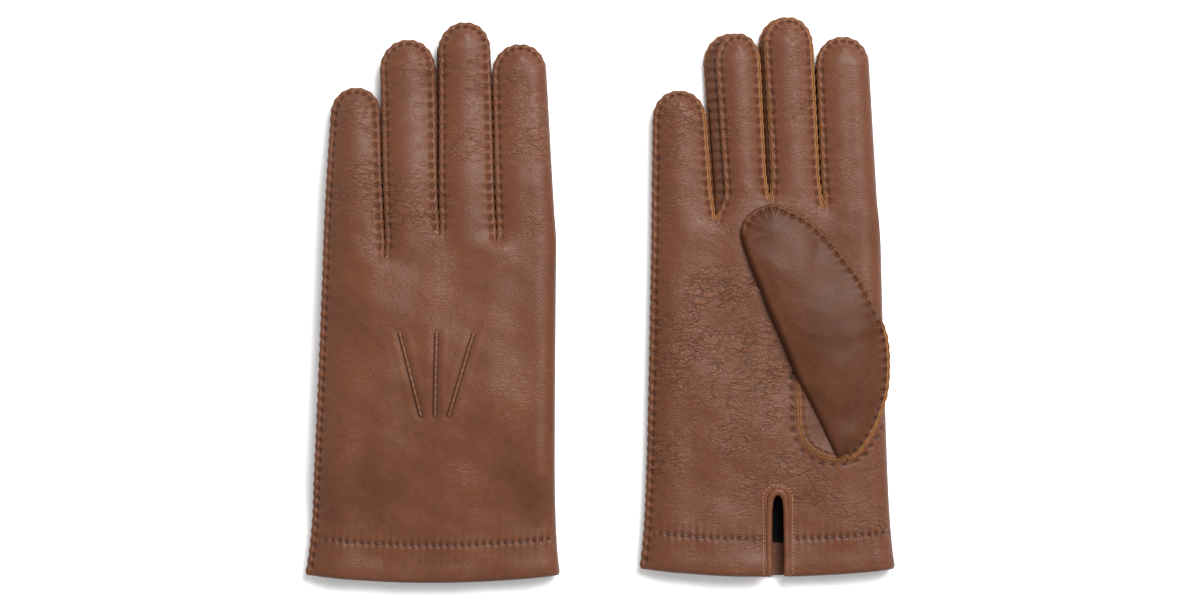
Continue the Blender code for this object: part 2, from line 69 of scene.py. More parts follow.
# ---------------------------------------------------------------- how the gloves lie
# Each glove is drawn in its own measure: x across from its middle line towards the index side and v
# up from its cuff, then placed and leaned on the table.  The palm-down glove rides up over its
# folded thumb, and the palm-up one lies on its back.
TURN = {"left": -1, "right": 1}                  # which way the palm faces: down or up
LEAN = {"left": 0.0240, "right": -0.0040}
HEM_LINE = 17 * MM
THICKNESS = 12 * MM
THUMB_SPACE = 8.8 * MM
LIFT = (22 * MM, 50 * MM, 176 * MM, 220 * MM)    # where it starts, is full, falls again and ends
BRIDGE = (20 * MM, 40 * MM)                      # how much sooner and later the back rises than the palm
PINKY_LIFT = 0.62                                # share of the lift that is left at the pinky edge
TABLE_GAP = 0.05 * MM


def ease(value, start, end):
    """0 before start, 1 after end and a smooth S between: 3t^2 - 2t^3 of the share t."""
    t = np.clip((np.asarray(value, float) - start) / (end - start), 0, 1)
    return t * t * (3 - 2 * t)


def bell(gap, width):
    """1 on the spot, falling away on both sides as exp(-(gap / width)^2)."""
    return np.exp(-(gap / width) ** 2)


def quarter_round(reach, radius):
    """Rise of a rounded edge, from 0 to 1 over its radius: sqrt(1 - (1 - reach / radius)^2)."""
    return np.sqrt(np.clip(1 - (1 - np.clip(reach / radius, 0, 1)) ** 2, 0, 1))


def corner(side):
    """Where a glove's own measure starts: its middle line at the cuff's edge."""
    low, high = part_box(side + "_hem_thread")
    return (low.x + high.x) / 2 - LEAN[side] * HEM_LINE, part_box(side + "_trank_hand")[0].y


CORNER = {side: corner(side) for side in TURN}


def placed(side, x, v, z):
    """World points of a glove's x, v and z: moved to its corner, leaned, and kept above the table."""
    x0, y0 = CORNER[side]
    return np.stack(np.broadcast_arrays(x0 + x + LEAN[side] * v, y0 + v, np.maximum(z, TABLE_GAP)), -1)


def middle_level(side, x, v, layer="palm"):
    """Height of the middle plane: half the glove's thickness, plus the lift over a thumb that lies under it.

    The back bridges the thumb in a longer slope than the palm that rests on it, away from the edges.
    """
    if TURN[side] > 0:
        return np.full(np.broadcast(x, v).shape, THICKNESS / 2)
    up = ease(v, LIFT[0], LIFT[1])
    if layer == "back":
        slow = ease(v, LIFT[0] - BRIDGE[0], LIFT[1] + BRIDGE[1])
        up = up + (slow - up) * ease(-np.abs(x), -50 * MM, -30 * MM)
    up = up * (1 - ease(v, LIFT[2], LIFT[3]))
    across = PINKY_LIFT + (1 - PINKY_LIFT) * ease(x, -52 * MM, -15 * MM)
    return THICKNESS / 2 + THUMB_SPACE * up * across


def facing(side, layer):
    """1 where a layer's outer face looks up, and -1 where it looks down."""
    return TURN[side] if layer == "palm" else -TURN[side]


def laid(side, layer, x, v, height, shown_v=None):
    """World points at a height from the middle plane, on a layer's side; shown_v is v with the bow."""
    z = middle_level(side, x, v, layer) + facing(side, layer) * height
    return placed(side, x, v if shown_v is None else shown_v, z)


# ---------------------------------------------------------------- leather
# Full-grain hairsheep, drum-dyed warm brown and lightly dressed: a fine pebble of grain and soft cross
# wrinkles.  Its colour also carries painted light: a painted highlight where it stands proud, and painted
# shade in its crease lines and where thread pulls it in.  Cut edges are raw tan.  The thread is drawn
# separately.
class Flow:
    """A shader socket that can be used in Python arithmetic."""

    def __init__(self, tree, socket):
        self.tree, self.socket = tree, socket

    def node(self, kind, settings=None, **sockets):
        made = self.tree.nodes.new(kind)
        for key, value in (settings or {}).items():
            if key == "ramp":
                ramp = made.color_ramp
                for spare in list(ramp.elements)[2:]:
                    ramp.elements.remove(spare)
                for number, (at, colour) in enumerate(value):
                    stop = ramp.elements[number] if number < 2 else ramp.elements.new(at)
                    stop.position, stop.color = at, (*colour, 1.0)
            else:
                setattr(made, key, value)
        for key, value in sockets.items():
            label = key.replace("_", " ")
            target = made.inputs[int(key[1:])] if key[0] == "i" and key[1:].isdigit() else made.inputs[label]
            if isinstance(value, Flow):
                self.tree.links.new(value.socket, target)
            else:
                target.default_value = value
        return made

    def out(self, kind, output, settings=None, **sockets):
        return Flow(self.tree, self.node(kind, settings, **sockets).outputs[output])

    def math(self, operation, *values):
        sockets = {f"i{number}": value for number, value in enumerate(values)}
        return self.out("ShaderNodeMath", 0, {"operation": operation}, **sockets)

    def __add__(self, other):
        return self.math("ADD", self, other)

    def __sub__(self, other):
        return self.math("SUBTRACT", self, other)

    def __rsub__(self, other):
        return self.math("SUBTRACT", other, self)

    def __mul__(self, other):
        return self.math("MULTIPLY", self, other)

    __radd__, __rmul__ = __add__, __mul__

    def clamp(self):
        return self.out("ShaderNodeClamp", 0, None, Value=self)

    def mix(self, first, second):
        """The first colour where this flow is 0, and the second where it is 1."""
        return self.out("ShaderNodeMix", 2, {"data_type": "RGBA"}, i0=self, i6=first, i7=second)


def rgb(red, green, blue):
    """A colour for a socket, from its 0 to 255 display values."""
    linear = [((c / 255 + 0.055) / 1.055) ** 2.4 if c > 10 else c / 255 / 12.92 for c in (red, green, blue)]
    return (*linear, 1.0)


def new_material(name, roughness):
    """A new material, its shader and the flow of its Object coordinates."""
    made = bpy.data.materials.new(name)
    made.use_nodes = True
    shader = made.node_tree.nodes["Principled BSDF"]
    shader.inputs["Roughness"].default_value = roughness
    return made, shader, Flow(made.node_tree, None).out("ShaderNodeTexCoord", "Object")


def plain_material(name, roughness, colour):
    """A material of one even colour."""
    made, shader, _ = new_material(name, roughness)
    shader.inputs["Base Color"].default_value = colour
    return made


def feed(shader, label, flow):
    """Join a flow to one of the shader's inputs."""
    flow.tree.links.new(flow.socket, shader.inputs[label])


# painted shade for crease lines and fine wrinkles
WRINKLE_SHADE = rgb(50, 25, 14)
LEATHER_BODY = rgb(84, 46, 28)
LEATHER_LIT = rgb(101, 60, 38)
RAW_EDGE = rgb(150, 100, 56)
RAW_EDGE_DARK = rgb(104, 65, 34)
# painted shade for seam grooves, gaps, stitch dimples and crevices
GROOVE_SHADE = rgb(26, 12, 7)


def leather_material(name, coarse, tone, sheen):
    """Brown leather; coarse scales the height of its grain, tone its brightness and sheen its polish."""
    made, shader, where = new_material(name, 0.5)
    edge, painted_shade, painted_highlight_and_tone, creasing_and_shade = [where.out("ShaderNodeAttribute", "Fac", {"attribute_name": label})
                               for label in ("edge", "painted_shade", "painted_highlight_and_tone", "creasing_and_shade")]
    noise, cells = "ShaderNodeTexNoise", "ShaderNodeTexVoronoi"
    cloud = where.out(noise, "Fac", None, Vector=where, Scale=38.0, Detail=3.0, Roughness=0.6)
    mottle = where.out(noise, "Fac", None, Vector=where, Scale=260.0, Detail=4.0, Roughness=0.65)
    drift = where.out(noise, "Color", None, Vector=where, Scale=170.0, Detail=2.0)
    bent = where.out("ShaderNodeVectorMath", 0, {"operation": "MULTIPLY_ADD"}, i0=drift,
                     i1=(0.006, 0.006, 0.006), i2=where)
    grain = where.out(cells, "Distance", {"feature": "SMOOTH_F1"}, Vector=bent, Scale=1700.0)
    pores = where.out(noise, "Fac", None, Vector=where, Scale=2600.0, Detail=3.0)
    across = where.out("ShaderNodeMapping", 0, None, Vector=bent, Scale=(0.24, 1.0, 0.8))
    crease_gap = where.out(cells, "Distance", {"feature": "DISTANCE_TO_EDGE"}, Vector=across, Scale=430.0)
    fine_gap = where.out(cells, "Distance", {"feature": "DISTANCE_TO_EDGE"}, Vector=across, Scale=900.0)
    patch = ((cloud - 0.44) * 5.0 + (mottle - 0.5) * 1.5).clamp() * creasing_and_shade
    crease = (1.0 - crease_gap * 9.0).clamp() * patch
    fine = (1.0 - fine_gap * 5.0).clamp() * (patch + 0.2).clamp()
    # Tone that differs at random, lifted by a painted highlight where the leather stands proud and shifted
    # for some pieces' tone.
    tint = ((cloud - 0.5) * 1.4 + (mottle - 0.5) * 0.8 + 0.5 + painted_highlight_and_tone * 0.45).clamp()
    body = tint.mix(tuple(c * 0.80 * tone for c in LEATHER_BODY[:3]) + (1.0,),
                    tuple(c * tone for c in LEATHER_LIT[:3]) + (1.0,))
    # Painted shade: crease lines and fine wrinkles are darkened.
    body = (crease * 0.65 + fine * 0.30).clamp().mix(body, WRINKLE_SHADE)
    # Painted shade in seam grooves, gaps, stitch dimples and crevices, carried by a point attribute.
    body = (painted_shade * 0.9).clamp().mix(body, GROOVE_SHADE)
    raw = mottle.mix(RAW_EDGE_DARK, RAW_EDGE)
    feed(shader, "Base Color", edge.clamp().mix(body, raw))
    feed(shader, "Roughness", (0.42 + (mottle - 0.5) * 0.25 + edge * 0.35 + painted_shade * 0.2).clamp())
    height = mottle * 0.10 - grain * 0.09 + pores * 0.05 - crease * 0.21 - fine * 0.12
    bump = where.out("ShaderNodeBump", "Normal", None, Height=height, Strength=1.0, Distance=0.001 * coarse)
    feed(shader, "Normal", bump)
    shader.inputs["Specular IOR Level"].default_value = sheen
    return made


LEATHER = leather_material("brown_hairsheep", 1.0, 1.0, 0.21)
SIDE_LEATHER = leather_material("brown_hairsheep_flank", 1.5, 0.80, 0.22)
THUMB_LEATHER = leather_material("brown_hairsheep_thumb", 0.7, 0.72, 0.12)


# ---------------------------------------------------------------- meshes on a grid
# Every leather piece is a grid of points; what differs over it is kept as point attributes.
# How creased a piece is also sets how much painted shade its creases get.
PLAIN_CREASING_AND_SHADE = 0.3                      # how creased a piece is when nothing is said about it


def grid_object(name, material, grids):
    """One object from several grids, each a dict with rows x columns x 3 points and its attributes.

    Quads join each point to its neighbours along the row and the next row; a grid flagged flip is
    wound the other way round.  Points closer than a micrometre are made one.
    """
    points, faces, extra = [], [], {"edge": [], "painted_shade": [], "painted_highlight_and_tone": [], "creasing_and_shade": []}
    offset = 0
    for grid in grids:
        place = grid["points"]
        rows, columns = place.shape[:2]
        index = np.arange(rows * columns).reshape(rows, columns) + offset
        quads = np.stack([index[:-1, :-1], index[:-1, 1:], index[1:, 1:], index[1:, :-1]], -1)
        if grid.get("flip"):
            quads = quads[..., ::-1]
        if "mask" in grid:
            quads = quads[grid["mask"]]
        faces.append(quads.reshape(-1, 4))
        points.append(place.reshape(-1, 3))
        for label, values in extra.items():
            value = grid.get(label, PLAIN_CREASING_AND_SHADE if label == "creasing_and_shade" else 0.0)
            values.append(np.broadcast_to(value, (rows, columns)).reshape(-1))
        offset += rows * columns
    points, faces = np.concatenate(points), np.concatenate(faces)
    mesh = bpy.data.meshes.new(name)
    mesh.vertices.add(len(points))
    mesh.vertices.foreach_set("co", points.astype(np.float32).ravel())
    mesh.loops.add(faces.size)
    mesh.loops.foreach_set("vertex_index", faces.astype(np.int32).ravel())
    mesh.polygons.add(len(faces))
    mesh.polygons.foreach_set("loop_start", np.arange(0, faces.size, 4, dtype=np.int32))
    mesh.update(calc_edges=True)
    for label, values in extra.items():
        mesh.attributes.new(label, "FLOAT", "POINT").data.foreach_set(
            "value", np.concatenate(values).astype(np.float32))
    work = bmesh.new()
    work.from_mesh(mesh)
    bmesh.ops.remove_doubles(work, verts=work.verts, dist=1e-6)
    loose = [v for v in work.verts if not v.link_faces]
    bmesh.ops.delete(work, geom=loose, context="VERTS")
    work.to_mesh(mesh)
    work.free()
    mesh.shade_smooth()
    mesh.materials.append(material)
    made = bpy.data.objects.new(name, mesh)
    bpy.context.scene.collection.objects.link(made)
    return made


# ---------------------------------------------------------------- prick seam
# Fingers, outseam and thumb are sewn by hand, raw edges outwards: two cut edges stand side by side
# beyond a row of stitches, and the leather puffs up between one stitch and the next.
STITCH = 4.516 * MM
SEAM_AT = 2.3 * MM
SEWN = 0.8                            # an edge that is a seam by more than this shows its stitches
SEAM_OUT = np.array([2.5, 1.3, 0.50, 0.00, 0.06, 0.46, 0.58, 0.70, 0.76, 0.84, 1.20, 1.42, 1.75, 2.02, 2.30,
                     2.60, 3.00, 3.50]) * MM
OPEN_UP = np.array([-2.15, -1.75, -1.62, -1.15, -0.86, -0.66, -0.80, -0.86, -0.74, -0.36, -0.05, 0.06, 0.08,
                    -0.06, -0.24, -0.10, 0.10, 0.22]) * MM
OPEN_RAW = np.array([0, 0, 0.6, 1, 1, 1, 0, 0, 0.4, 1, 1, 0.1, 0, 0, 0, 0, 0, 0])
# painted shade on the far side of the cut edges and down between them where they gape
OPEN_DARK = np.array([0.3, 0.3, 0.2, 0, 0, 0, 1, 1, 0.6, 0, 0, 0, 0, 0, 0, 0, 0, 0])
SHUT_OUT = np.array([2.5, 1.3, 0.50, 0.05, 0.00, 0.05, 0.16, 0.30, 0.45, 0.65, 0.90, 1.15, 1.50, 1.90, 2.30,
                     2.60, 3.00, 3.50]) * MM
SHUT_UP = np.array([-2.15, -1.75, -1.62, -1.25, -1.00, -0.72, -0.50, -0.32, -0.20, -0.10, 0.00, 0.06, 0.05,
                    -0.06, -0.24, -0.10, 0.10, 0.22]) * MM
SHUT_RAW = np.array([0, 0, 0.3, 0.8, 0.7, 0.3, 0, 0, 0, 0, 0, 0, 0, 0, 0, 0, 0, 0])
# painted shade on the far side of the shut cut edges
SHUT_DARK = np.array([0.1, 0.1, 0.1, 0.0, 0, 0, 0, 0, 0, 0, 0, 0, 0, 0, 0, 0, 0, 0])
# painted highlight on the puffs beside the groove
SEAM_HIGHLIGHT = np.array([0, 0, 0, 0, 0, 0, 0, 0, 0, 0, 0, 0.4, 0.9, 0.4, 0, 0.2, 0.6, 0.3])
FLAT_OUT = np.array([0, 0, 0, 0, 0, 0, 0, 0, 0, 0, 0.35, 0.7, 1.05, 1.4, 1.85, 2.3, 2.8, 3.5]) * MM


def half_row(edge, inward, spine, seam, pull, inner, spread=0.0, groove=1.0):
    """Points from a piece's edge to its spine, for each station along the edge.

    The first points follow the seam's profile along the inward normal, scaled by seam (0 on a plain
    edge, 1 on a sewn one); the rest run evenly on to the spine.  pull is the cosine of the stitch
    phase: at a stitch the edge draws in and the groove deepens, and between two it swells.  spread
    is 1 where the two cut edges gape and show their raw tan, and 0 where they lie shut.  Besides the
    points and the lift it gives painted shade in the gap and the stitch dimples, painted highlight on
    the puffs between stitches, and the raw tan of the cut edges.
    """
    seam, pull = seam[:, None], pull[:, None]
    spread = np.broadcast_to(spread, (len(edge),))[:, None]
    base_out = SHUT_OUT * (1 - spread) + SEAM_OUT * spread
    reach = base_out + (0.20 * MM * pull) * np.exp(-base_out / (1.2 * MM))
    out = FLAT_OUT * (1 - seam) + reach * seam
    near = edge[:, None, :] + inward[:, None, :] * out[..., None]
    share = np.linspace(0, 1, inner + 1)[1:]
    start = near[:, -1:, :]
    rest = start + (spine[:, None, :] - start) * share[None, :, None]
    dip = bell(SEAM_OUT - SEAM_AT, 0.60 * MM) * groove
    profile = SHUT_UP * (1 - spread) + OPEN_UP * spread
    rise = profile - MM * pull * (0.52 * dip + 0.16 * (SEAM_OUT > 0.8 * MM))
    bare = np.zeros((len(edge), inner))
    lift = np.concatenate([rise * seam, bare], 1)
    beyond = np.linalg.norm(rest - start, axis=2)
    lift[:, len(SEAM_OUT):] -= 0.22 * MM * np.exp(-beyond / (1.2 * MM)) * pull * seam * groove
    lift[:, len(SEAM_OUT):] += 0.22 * MM * np.exp(-beyond / (1.5 * MM)) * seam
    # Painted shade in the seam's gap and its stitch dimples, and painted highlight on the puffs between
    # stitches.
    gap = SHUT_DARK * (1 - spread) + OPEN_DARK * spread
    dark = np.concatenate([(gap + dip * np.clip(0.06 + 0.40 * pull, 0, 1)) * seam, bare], 1)
    bright = np.concatenate([(SEAM_HIGHLIGHT * (0.6 - 0.8 * pull)) * seam, bare], 1)
    raw = np.concatenate([(SHUT_RAW * (1 - spread) + OPEN_RAW * spread) * seam, bare], 1)
    return np.concatenate([near, rest], 1), lift, dark, bright, raw


def unit(vectors):
    """The same directions with length 1."""
    return vectors / np.maximum(np.linalg.norm(vectors, axis=-1, keepdims=True), 1e-12)


def normals_of(path, way):
    """Sideways unit vectors of a path: way 1 is to its right, -1 to its left."""
    along = unit(np.gradient(path, axis=0))
    return way * np.stack([along[:, 1], -along[:, 0]], -1)


GROOVE = int(np.argmin(np.abs(SEAM_OUT - SEAM_AT)))       # which point of the profile the thread lies at


def smoothing(count):
    """Weights of a running mean over count neighbours, the nearest counting most."""
    weights = np.hanning(count)
    return weights / weights.sum()


def level(ways):
    """Directions over the table, with no rise."""
    return np.concatenate([ways, np.zeros((len(ways), 1))], 1)


def run_along(path):
    """How far along the path each of its points is."""
    steps = np.linalg.norm(np.diff(path, axis=0), axis=1)
    return np.concatenate([[0], np.cumsum(steps)])


def stitch_phase(path):
    """Cosine of the stitch phase along a path, with a whole number of stitches to its end."""
    along = run_along(path)
    count = max(1, round(along[-1] / STITCH))
    uneven = 0.8 + 0.2 * np.sin(along / (7 * MM)) * np.sin(along / (3.1 * MM))
    return np.cos(math.tau * along / along[-1] * count) * uneven, count


# ---------------------------------------------------------------- thread
# Waxed brown thread shows as one short bead in each dimple of a seam.
def thread_material():
    """Waxed thread with a little ply in its colour and its surface."""
    made, shader, where = new_material("waxed_brown_thread", 0.45)
    ply = where.out("ShaderNodeTexNoise", "Fac", None, Vector=where, Scale=2400.0, Detail=2.0)
    feed(shader, "Base Color", ply.mix(rgb(54, 27, 18), rgb(104, 60, 42)))
    feed(shader, "Normal", where.out("ShaderNodeBump", "Normal", None, Height=ply, Strength=0.5,
                                     Distance=0.00006))
    return made


THREAD = thread_material()


def beads(name, centres, along, length, radius, material):
    """Many short round stitches in one mesh: each a six-sided capsule laid along its own direction."""
    centres, along = np.asarray(centres), unit(np.asarray(along))
    helper = np.where(np.abs(along[:, 2:3]) < 0.9, [[0.0, 0.0, 1.0]], [[1.0, 0.0, 0.0]])
    across = unit(np.cross(along, helper))
    third = np.cross(along, across)
    stations = np.array([-1, -0.82, -0.3, 0.3, 0.82, 1]) * length / 2
    widths = np.array([0.05, 0.75, 1, 1, 0.75, 0.05]) * radius
    turns = np.arange(7) * math.tau / 6
    ring = (across[:, None, None] * np.cos(turns)[None, None, :, None]
            + third[:, None, None] * np.sin(turns)[None, None, :, None])
    points = (centres[:, None, None] + along[:, None, None] * stations[None, :, None, None]
              + ring * widths[None, :, None, None])
    return grid_object(name, material, [{"points": one} for one in points])


# ---------------------------------------------------------------- shape of the leather
# Both gloves are cut alike, but each has settled in its own way, so each has its own outline.
ROOT = 140 * MM                       # where the hand's leather is handed over to the fingers'
CUFF_HALF = 57 * MM
ROOT_LINE = 173.5 * MM
# half width at the knuckles, how much wider the arm end is, and the flare of the cuff on top of that
HALVES = {"left": (51.5 * MM, 2.9 * MM, 2.6 * MM), "right": (50.8 * MM, 4.2 * MM, 2.2 * MM)}
# in mm: left and right edge at the root, the same near the tip, and how far up the tip ends
OUTLINES = {
    "left": {
        "pinky": (-52.0, -24.3, -50.4, -28.3, 220.6), "ring": (-24.0, -0.2, -28.8, -4.5, 242.0),
        "middle": (0.0, 25.1, -3.0, 20.0, 249.8), "index": (25.4, 51.7, 21.2, 45.4, 240.0)},
    "right": {
        "pinky": (-51.2, -22.8, -50.4, -26.6, 216.6), "ring": (-22.4, 1.2, -27.6, -2.2, 242.2),
        "middle": (1.6, 25.2, -3.0, 21.2, 249.4), "index": (25.6, 50.6, 22.6, 46.4, 240.6)},
}
SLITS = {"back": (144.5 * MM, 154.5 * MM, 152.0 * MM), "palm": (158.2 * MM, 167.4 * MM, 164.0 * MM)}
# how far each seam gapes: along a finger's left side, along its right side and round its tip
SPREAD = {
    "left": {"back": dict.fromkeys(["pinky", "ring", "middle", "index"], (0.0, 0.0, 0.18)),
             "palm": dict.fromkeys(["pinky", "ring", "middle", "index"], (0.3, 0.8, 0.3))},
    "right": {"back": dict.fromkeys(["pinky", "ring", "middle", "index"], (0.1, 0.3, 0.2)),
              "palm": {"pinky": (0.0, 1.0, 0.15), "ring": (0.1, 0.9, 0.15), "middle": (0.55, 1.0, 0.5),
                       "index": (0.35, 0.0, 0.2)}},
}
PALM_INSET = {"right": {"ring": 5.2 * MM, "middle": 2.2 * MM}}
NAMES = ["pinky", "ring", "middle", "index"]
LAYERS = ("back", "palm")
STEP = 0.5 * MM                       # between two rows of a finger
WALL_HALF = 3.3 * MM                  # half the height of a fourchette
SEWN_HALF = 1.75 * MM                 # half the height where back and palm are sewn to each other
FOLD_ROUND = 9 * MM
LINE_FROM = 150 * MM                  # where the fingers' straight edges are measured from
OUTER_JOINED = 165 * MM               # above this an outer edge is the finger's own

# the thumb folded over the palm, clockwise from the foot of its fold, and the quirk that fills its corner
THUMB_LOOP = np.array([
    (31.2, 52.6), (27.7, 58.7), (22.7, 69.5), (17.7, 79.4), (13.6, 86.9), (10.3, 95.1), (4.5, 109.2),
    (0.0, 119.1), (-3.8, 129.0), (-8.8, 141.5), (-11.6, 152.2), (-9.2, 159.7), (-3.8, 164.0), (2.9, 165.9),
    (7.8, 164.4), (16.1, 160.5), (22.7, 155.6), (29.3, 148.9), (35.9, 140.6), (42.6, 131.5), (48.4, 119.1),
    (51.9, 112.2), (54.0, 105.0), (54.6, 95.1), (53.8, 82.7), (50.9, 72.8), (46.7, 63.7), (41.7, 56.2),
    (36.9, 52.6)]) * MM
QUIRK = np.array([
    (13.2, 88.5), (13.2, 84), (13.3, 75), (13.6, 66.1), (15.3, 60.4), (18.6, 56.2), (24.4, 52.9),
    (31.0, 51.8), (36.5, 52.8)]) * MM
BASE_AT = 2.6 * MM                    # how far the stitches of the thumb's base lie outside that line
BASE_LINE = np.concatenate([QUIRK, THUMB_LOOP[:-5:-1]])


def fold_x(v):
    """x of the thumb's plain fold, read off the first knots of its outline."""
    return np.interp(v, THUMB_LOOP[:11, 1], THUMB_LOOP[:11, 0])


def beside(x, v, line):
    """Distance from a line of knots, and how far along the line its nearest point is."""
    points = np.stack([x, v], -1)
    reach, run, start = np.full(x.shape, 1.0), np.zeros(x.shape), 0.0
    for first, last in zip(line[:-1], line[1:]):
        way = last - first
        length = np.linalg.norm(way)
        share = np.clip((points - first) @ way / length ** 2, 0, 1)
        gap = np.linalg.norm(points - first - share[..., None] * way, axis=-1)
        run = np.where(gap < reach, start + share * length, run)
        reach = np.minimum(gap, reach)
        start += length
    return reach, run


def hand_edge(side, v):
    """Half width of the hand: knuckles + wider * share^1.2 + flare * exp(-v / 14 mm).

    The share is 1 at the cuff and 0 at the fingers' roots.  The last 2 mm round off by up to 0.8 mm.
    """
    knuckles, wider, flare = HALVES[side]
    share = np.clip(1 - v / ROOT_LINE, 0, 1)
    rounding = 0.8 * MM * (1 - np.clip(v / (2 * MM), 0, 1)) ** 2
    return knuckles + wider * share ** 1.2 + flare * np.exp(-np.maximum(v, 0) / (14 * MM)) - rounding


def rolling(side, layer, x, v):
    """Slow waves in empty leather: a few sines across each other, the same for pieces side by side."""
    seed = {"left": 0.0, "right": 2.1}[side] + {"back": 0.0, "palm": 1.3}[layer]
    a, b = x / (10 * MM), v / (10 * MM)
    wave = (np.sin(0.9 * a + 0.35 * b + seed) * np.sin(0.55 * b - 0.2 * a + 2 * seed)
            + 0.5 * np.sin(1.7 * a - 0.8 * b + 3 * seed) * np.sin(1.1 * b + 0.7 * a + seed))
    fine = 0.16 * np.sin(3.1 * a + 1.9 * b + seed) * np.sin(2.3 * b - 1.2 * a + 5 * seed)
    return 1.05 * MM * (wave + fine)


def hand_height(side, layer, x, v):
    """Distance of the hand's leather from the middle plane.

    A pillow: sewn low at the pinky edge and rising over 15 mm, and round like an ellipse at the
    index fold; it waves a little, and sinks where the wrist is empty.
    """
    half = hand_edge(side, v)
    from_pinky, from_fold = x + half, half - x
    rise = 1 - (1 - np.clip((from_pinky - SEAM_AT) / (15 * MM), 0, 1)) ** 2.3
    fold = quarter_round(from_fold, FOLD_ROUND)
    full = THICKNESS / 2 + 1.0 * MM * ease(v, 30 * MM, 60 * MM) * (1 - ease(v, 120 * MM, 150 * MM))
    inner = ease(from_pinky, 4 * MM, 22 * MM) * ease(from_fold, 2 * MM, 22 * MM)
    facing_up = (layer == "palm") == (TURN[side] > 0)
    waves = rolling(side, layer, x, v) * inner * (1.0 if facing_up else 0.4)
    if not facing_up:
        waves = waves - 0.4 * MM * inner
    return (SEWN_HALF + (full - SEWN_HALF) * rise) * fold + waves


def finger_lines(side, name, layer):
    """Functions of v for a finger's left and right edge, and the v where its tip starts and ends."""
    left_root, right_root, left_tip, right_tip, end = [value * MM for value in OUTLINES[side][name]]
    number = NAMES.index(name)
    inset = PALM_INSET.get(side, {}).get(name, 0.0) if layer == "palm" else 0.0
    width = right_tip - left_tip
    tip_start = end - width * 0.54
    slits = SLITS[layer]

    def straight(root, tip, v):
        """A straight edge from the root to the tip."""
        share = (v - LINE_FROM) / (tip_start - LINE_FROM)
        return root + (tip - root) * np.clip(share, -0.2, 1)

    def inner(root, tip, slit, one, other):
        """An edge beside a neighbour: below the slit both take the line halfway between them."""
        halfway = (OUTLINES[side][one][1] + OUTLINES[side][other][0]) / 2 * MM

        def at(v):
            return halfway + (straight(root, tip, v) - halfway) * ease(v, slit, slit + 14 * MM)
        return at

    def outer(root, tip, way):
        """An edge on the outside of the glove: it starts as the hand's and turns into the finger's own."""
        def at(v):
            own = straight(root, tip, v)
            into = ease(v, ROOT, OUTER_JOINED)
            return np.where(v < OUTER_JOINED, way * hand_edge(side, v) * (1 - into) + own * into, own)
        return at

    if number == 0:
        left = outer(left_root, left_tip, -1)
    else:
        left = inner(left_root + inset, left_tip + inset, slits[number - 1], NAMES[number - 1], name)
    if number == 3:
        right = outer(right_root, right_tip, 1)
    else:
        right = inner(right_root, right_tip, slits[number], name, NAMES[number + 1])
    return left, right, tip_start, end


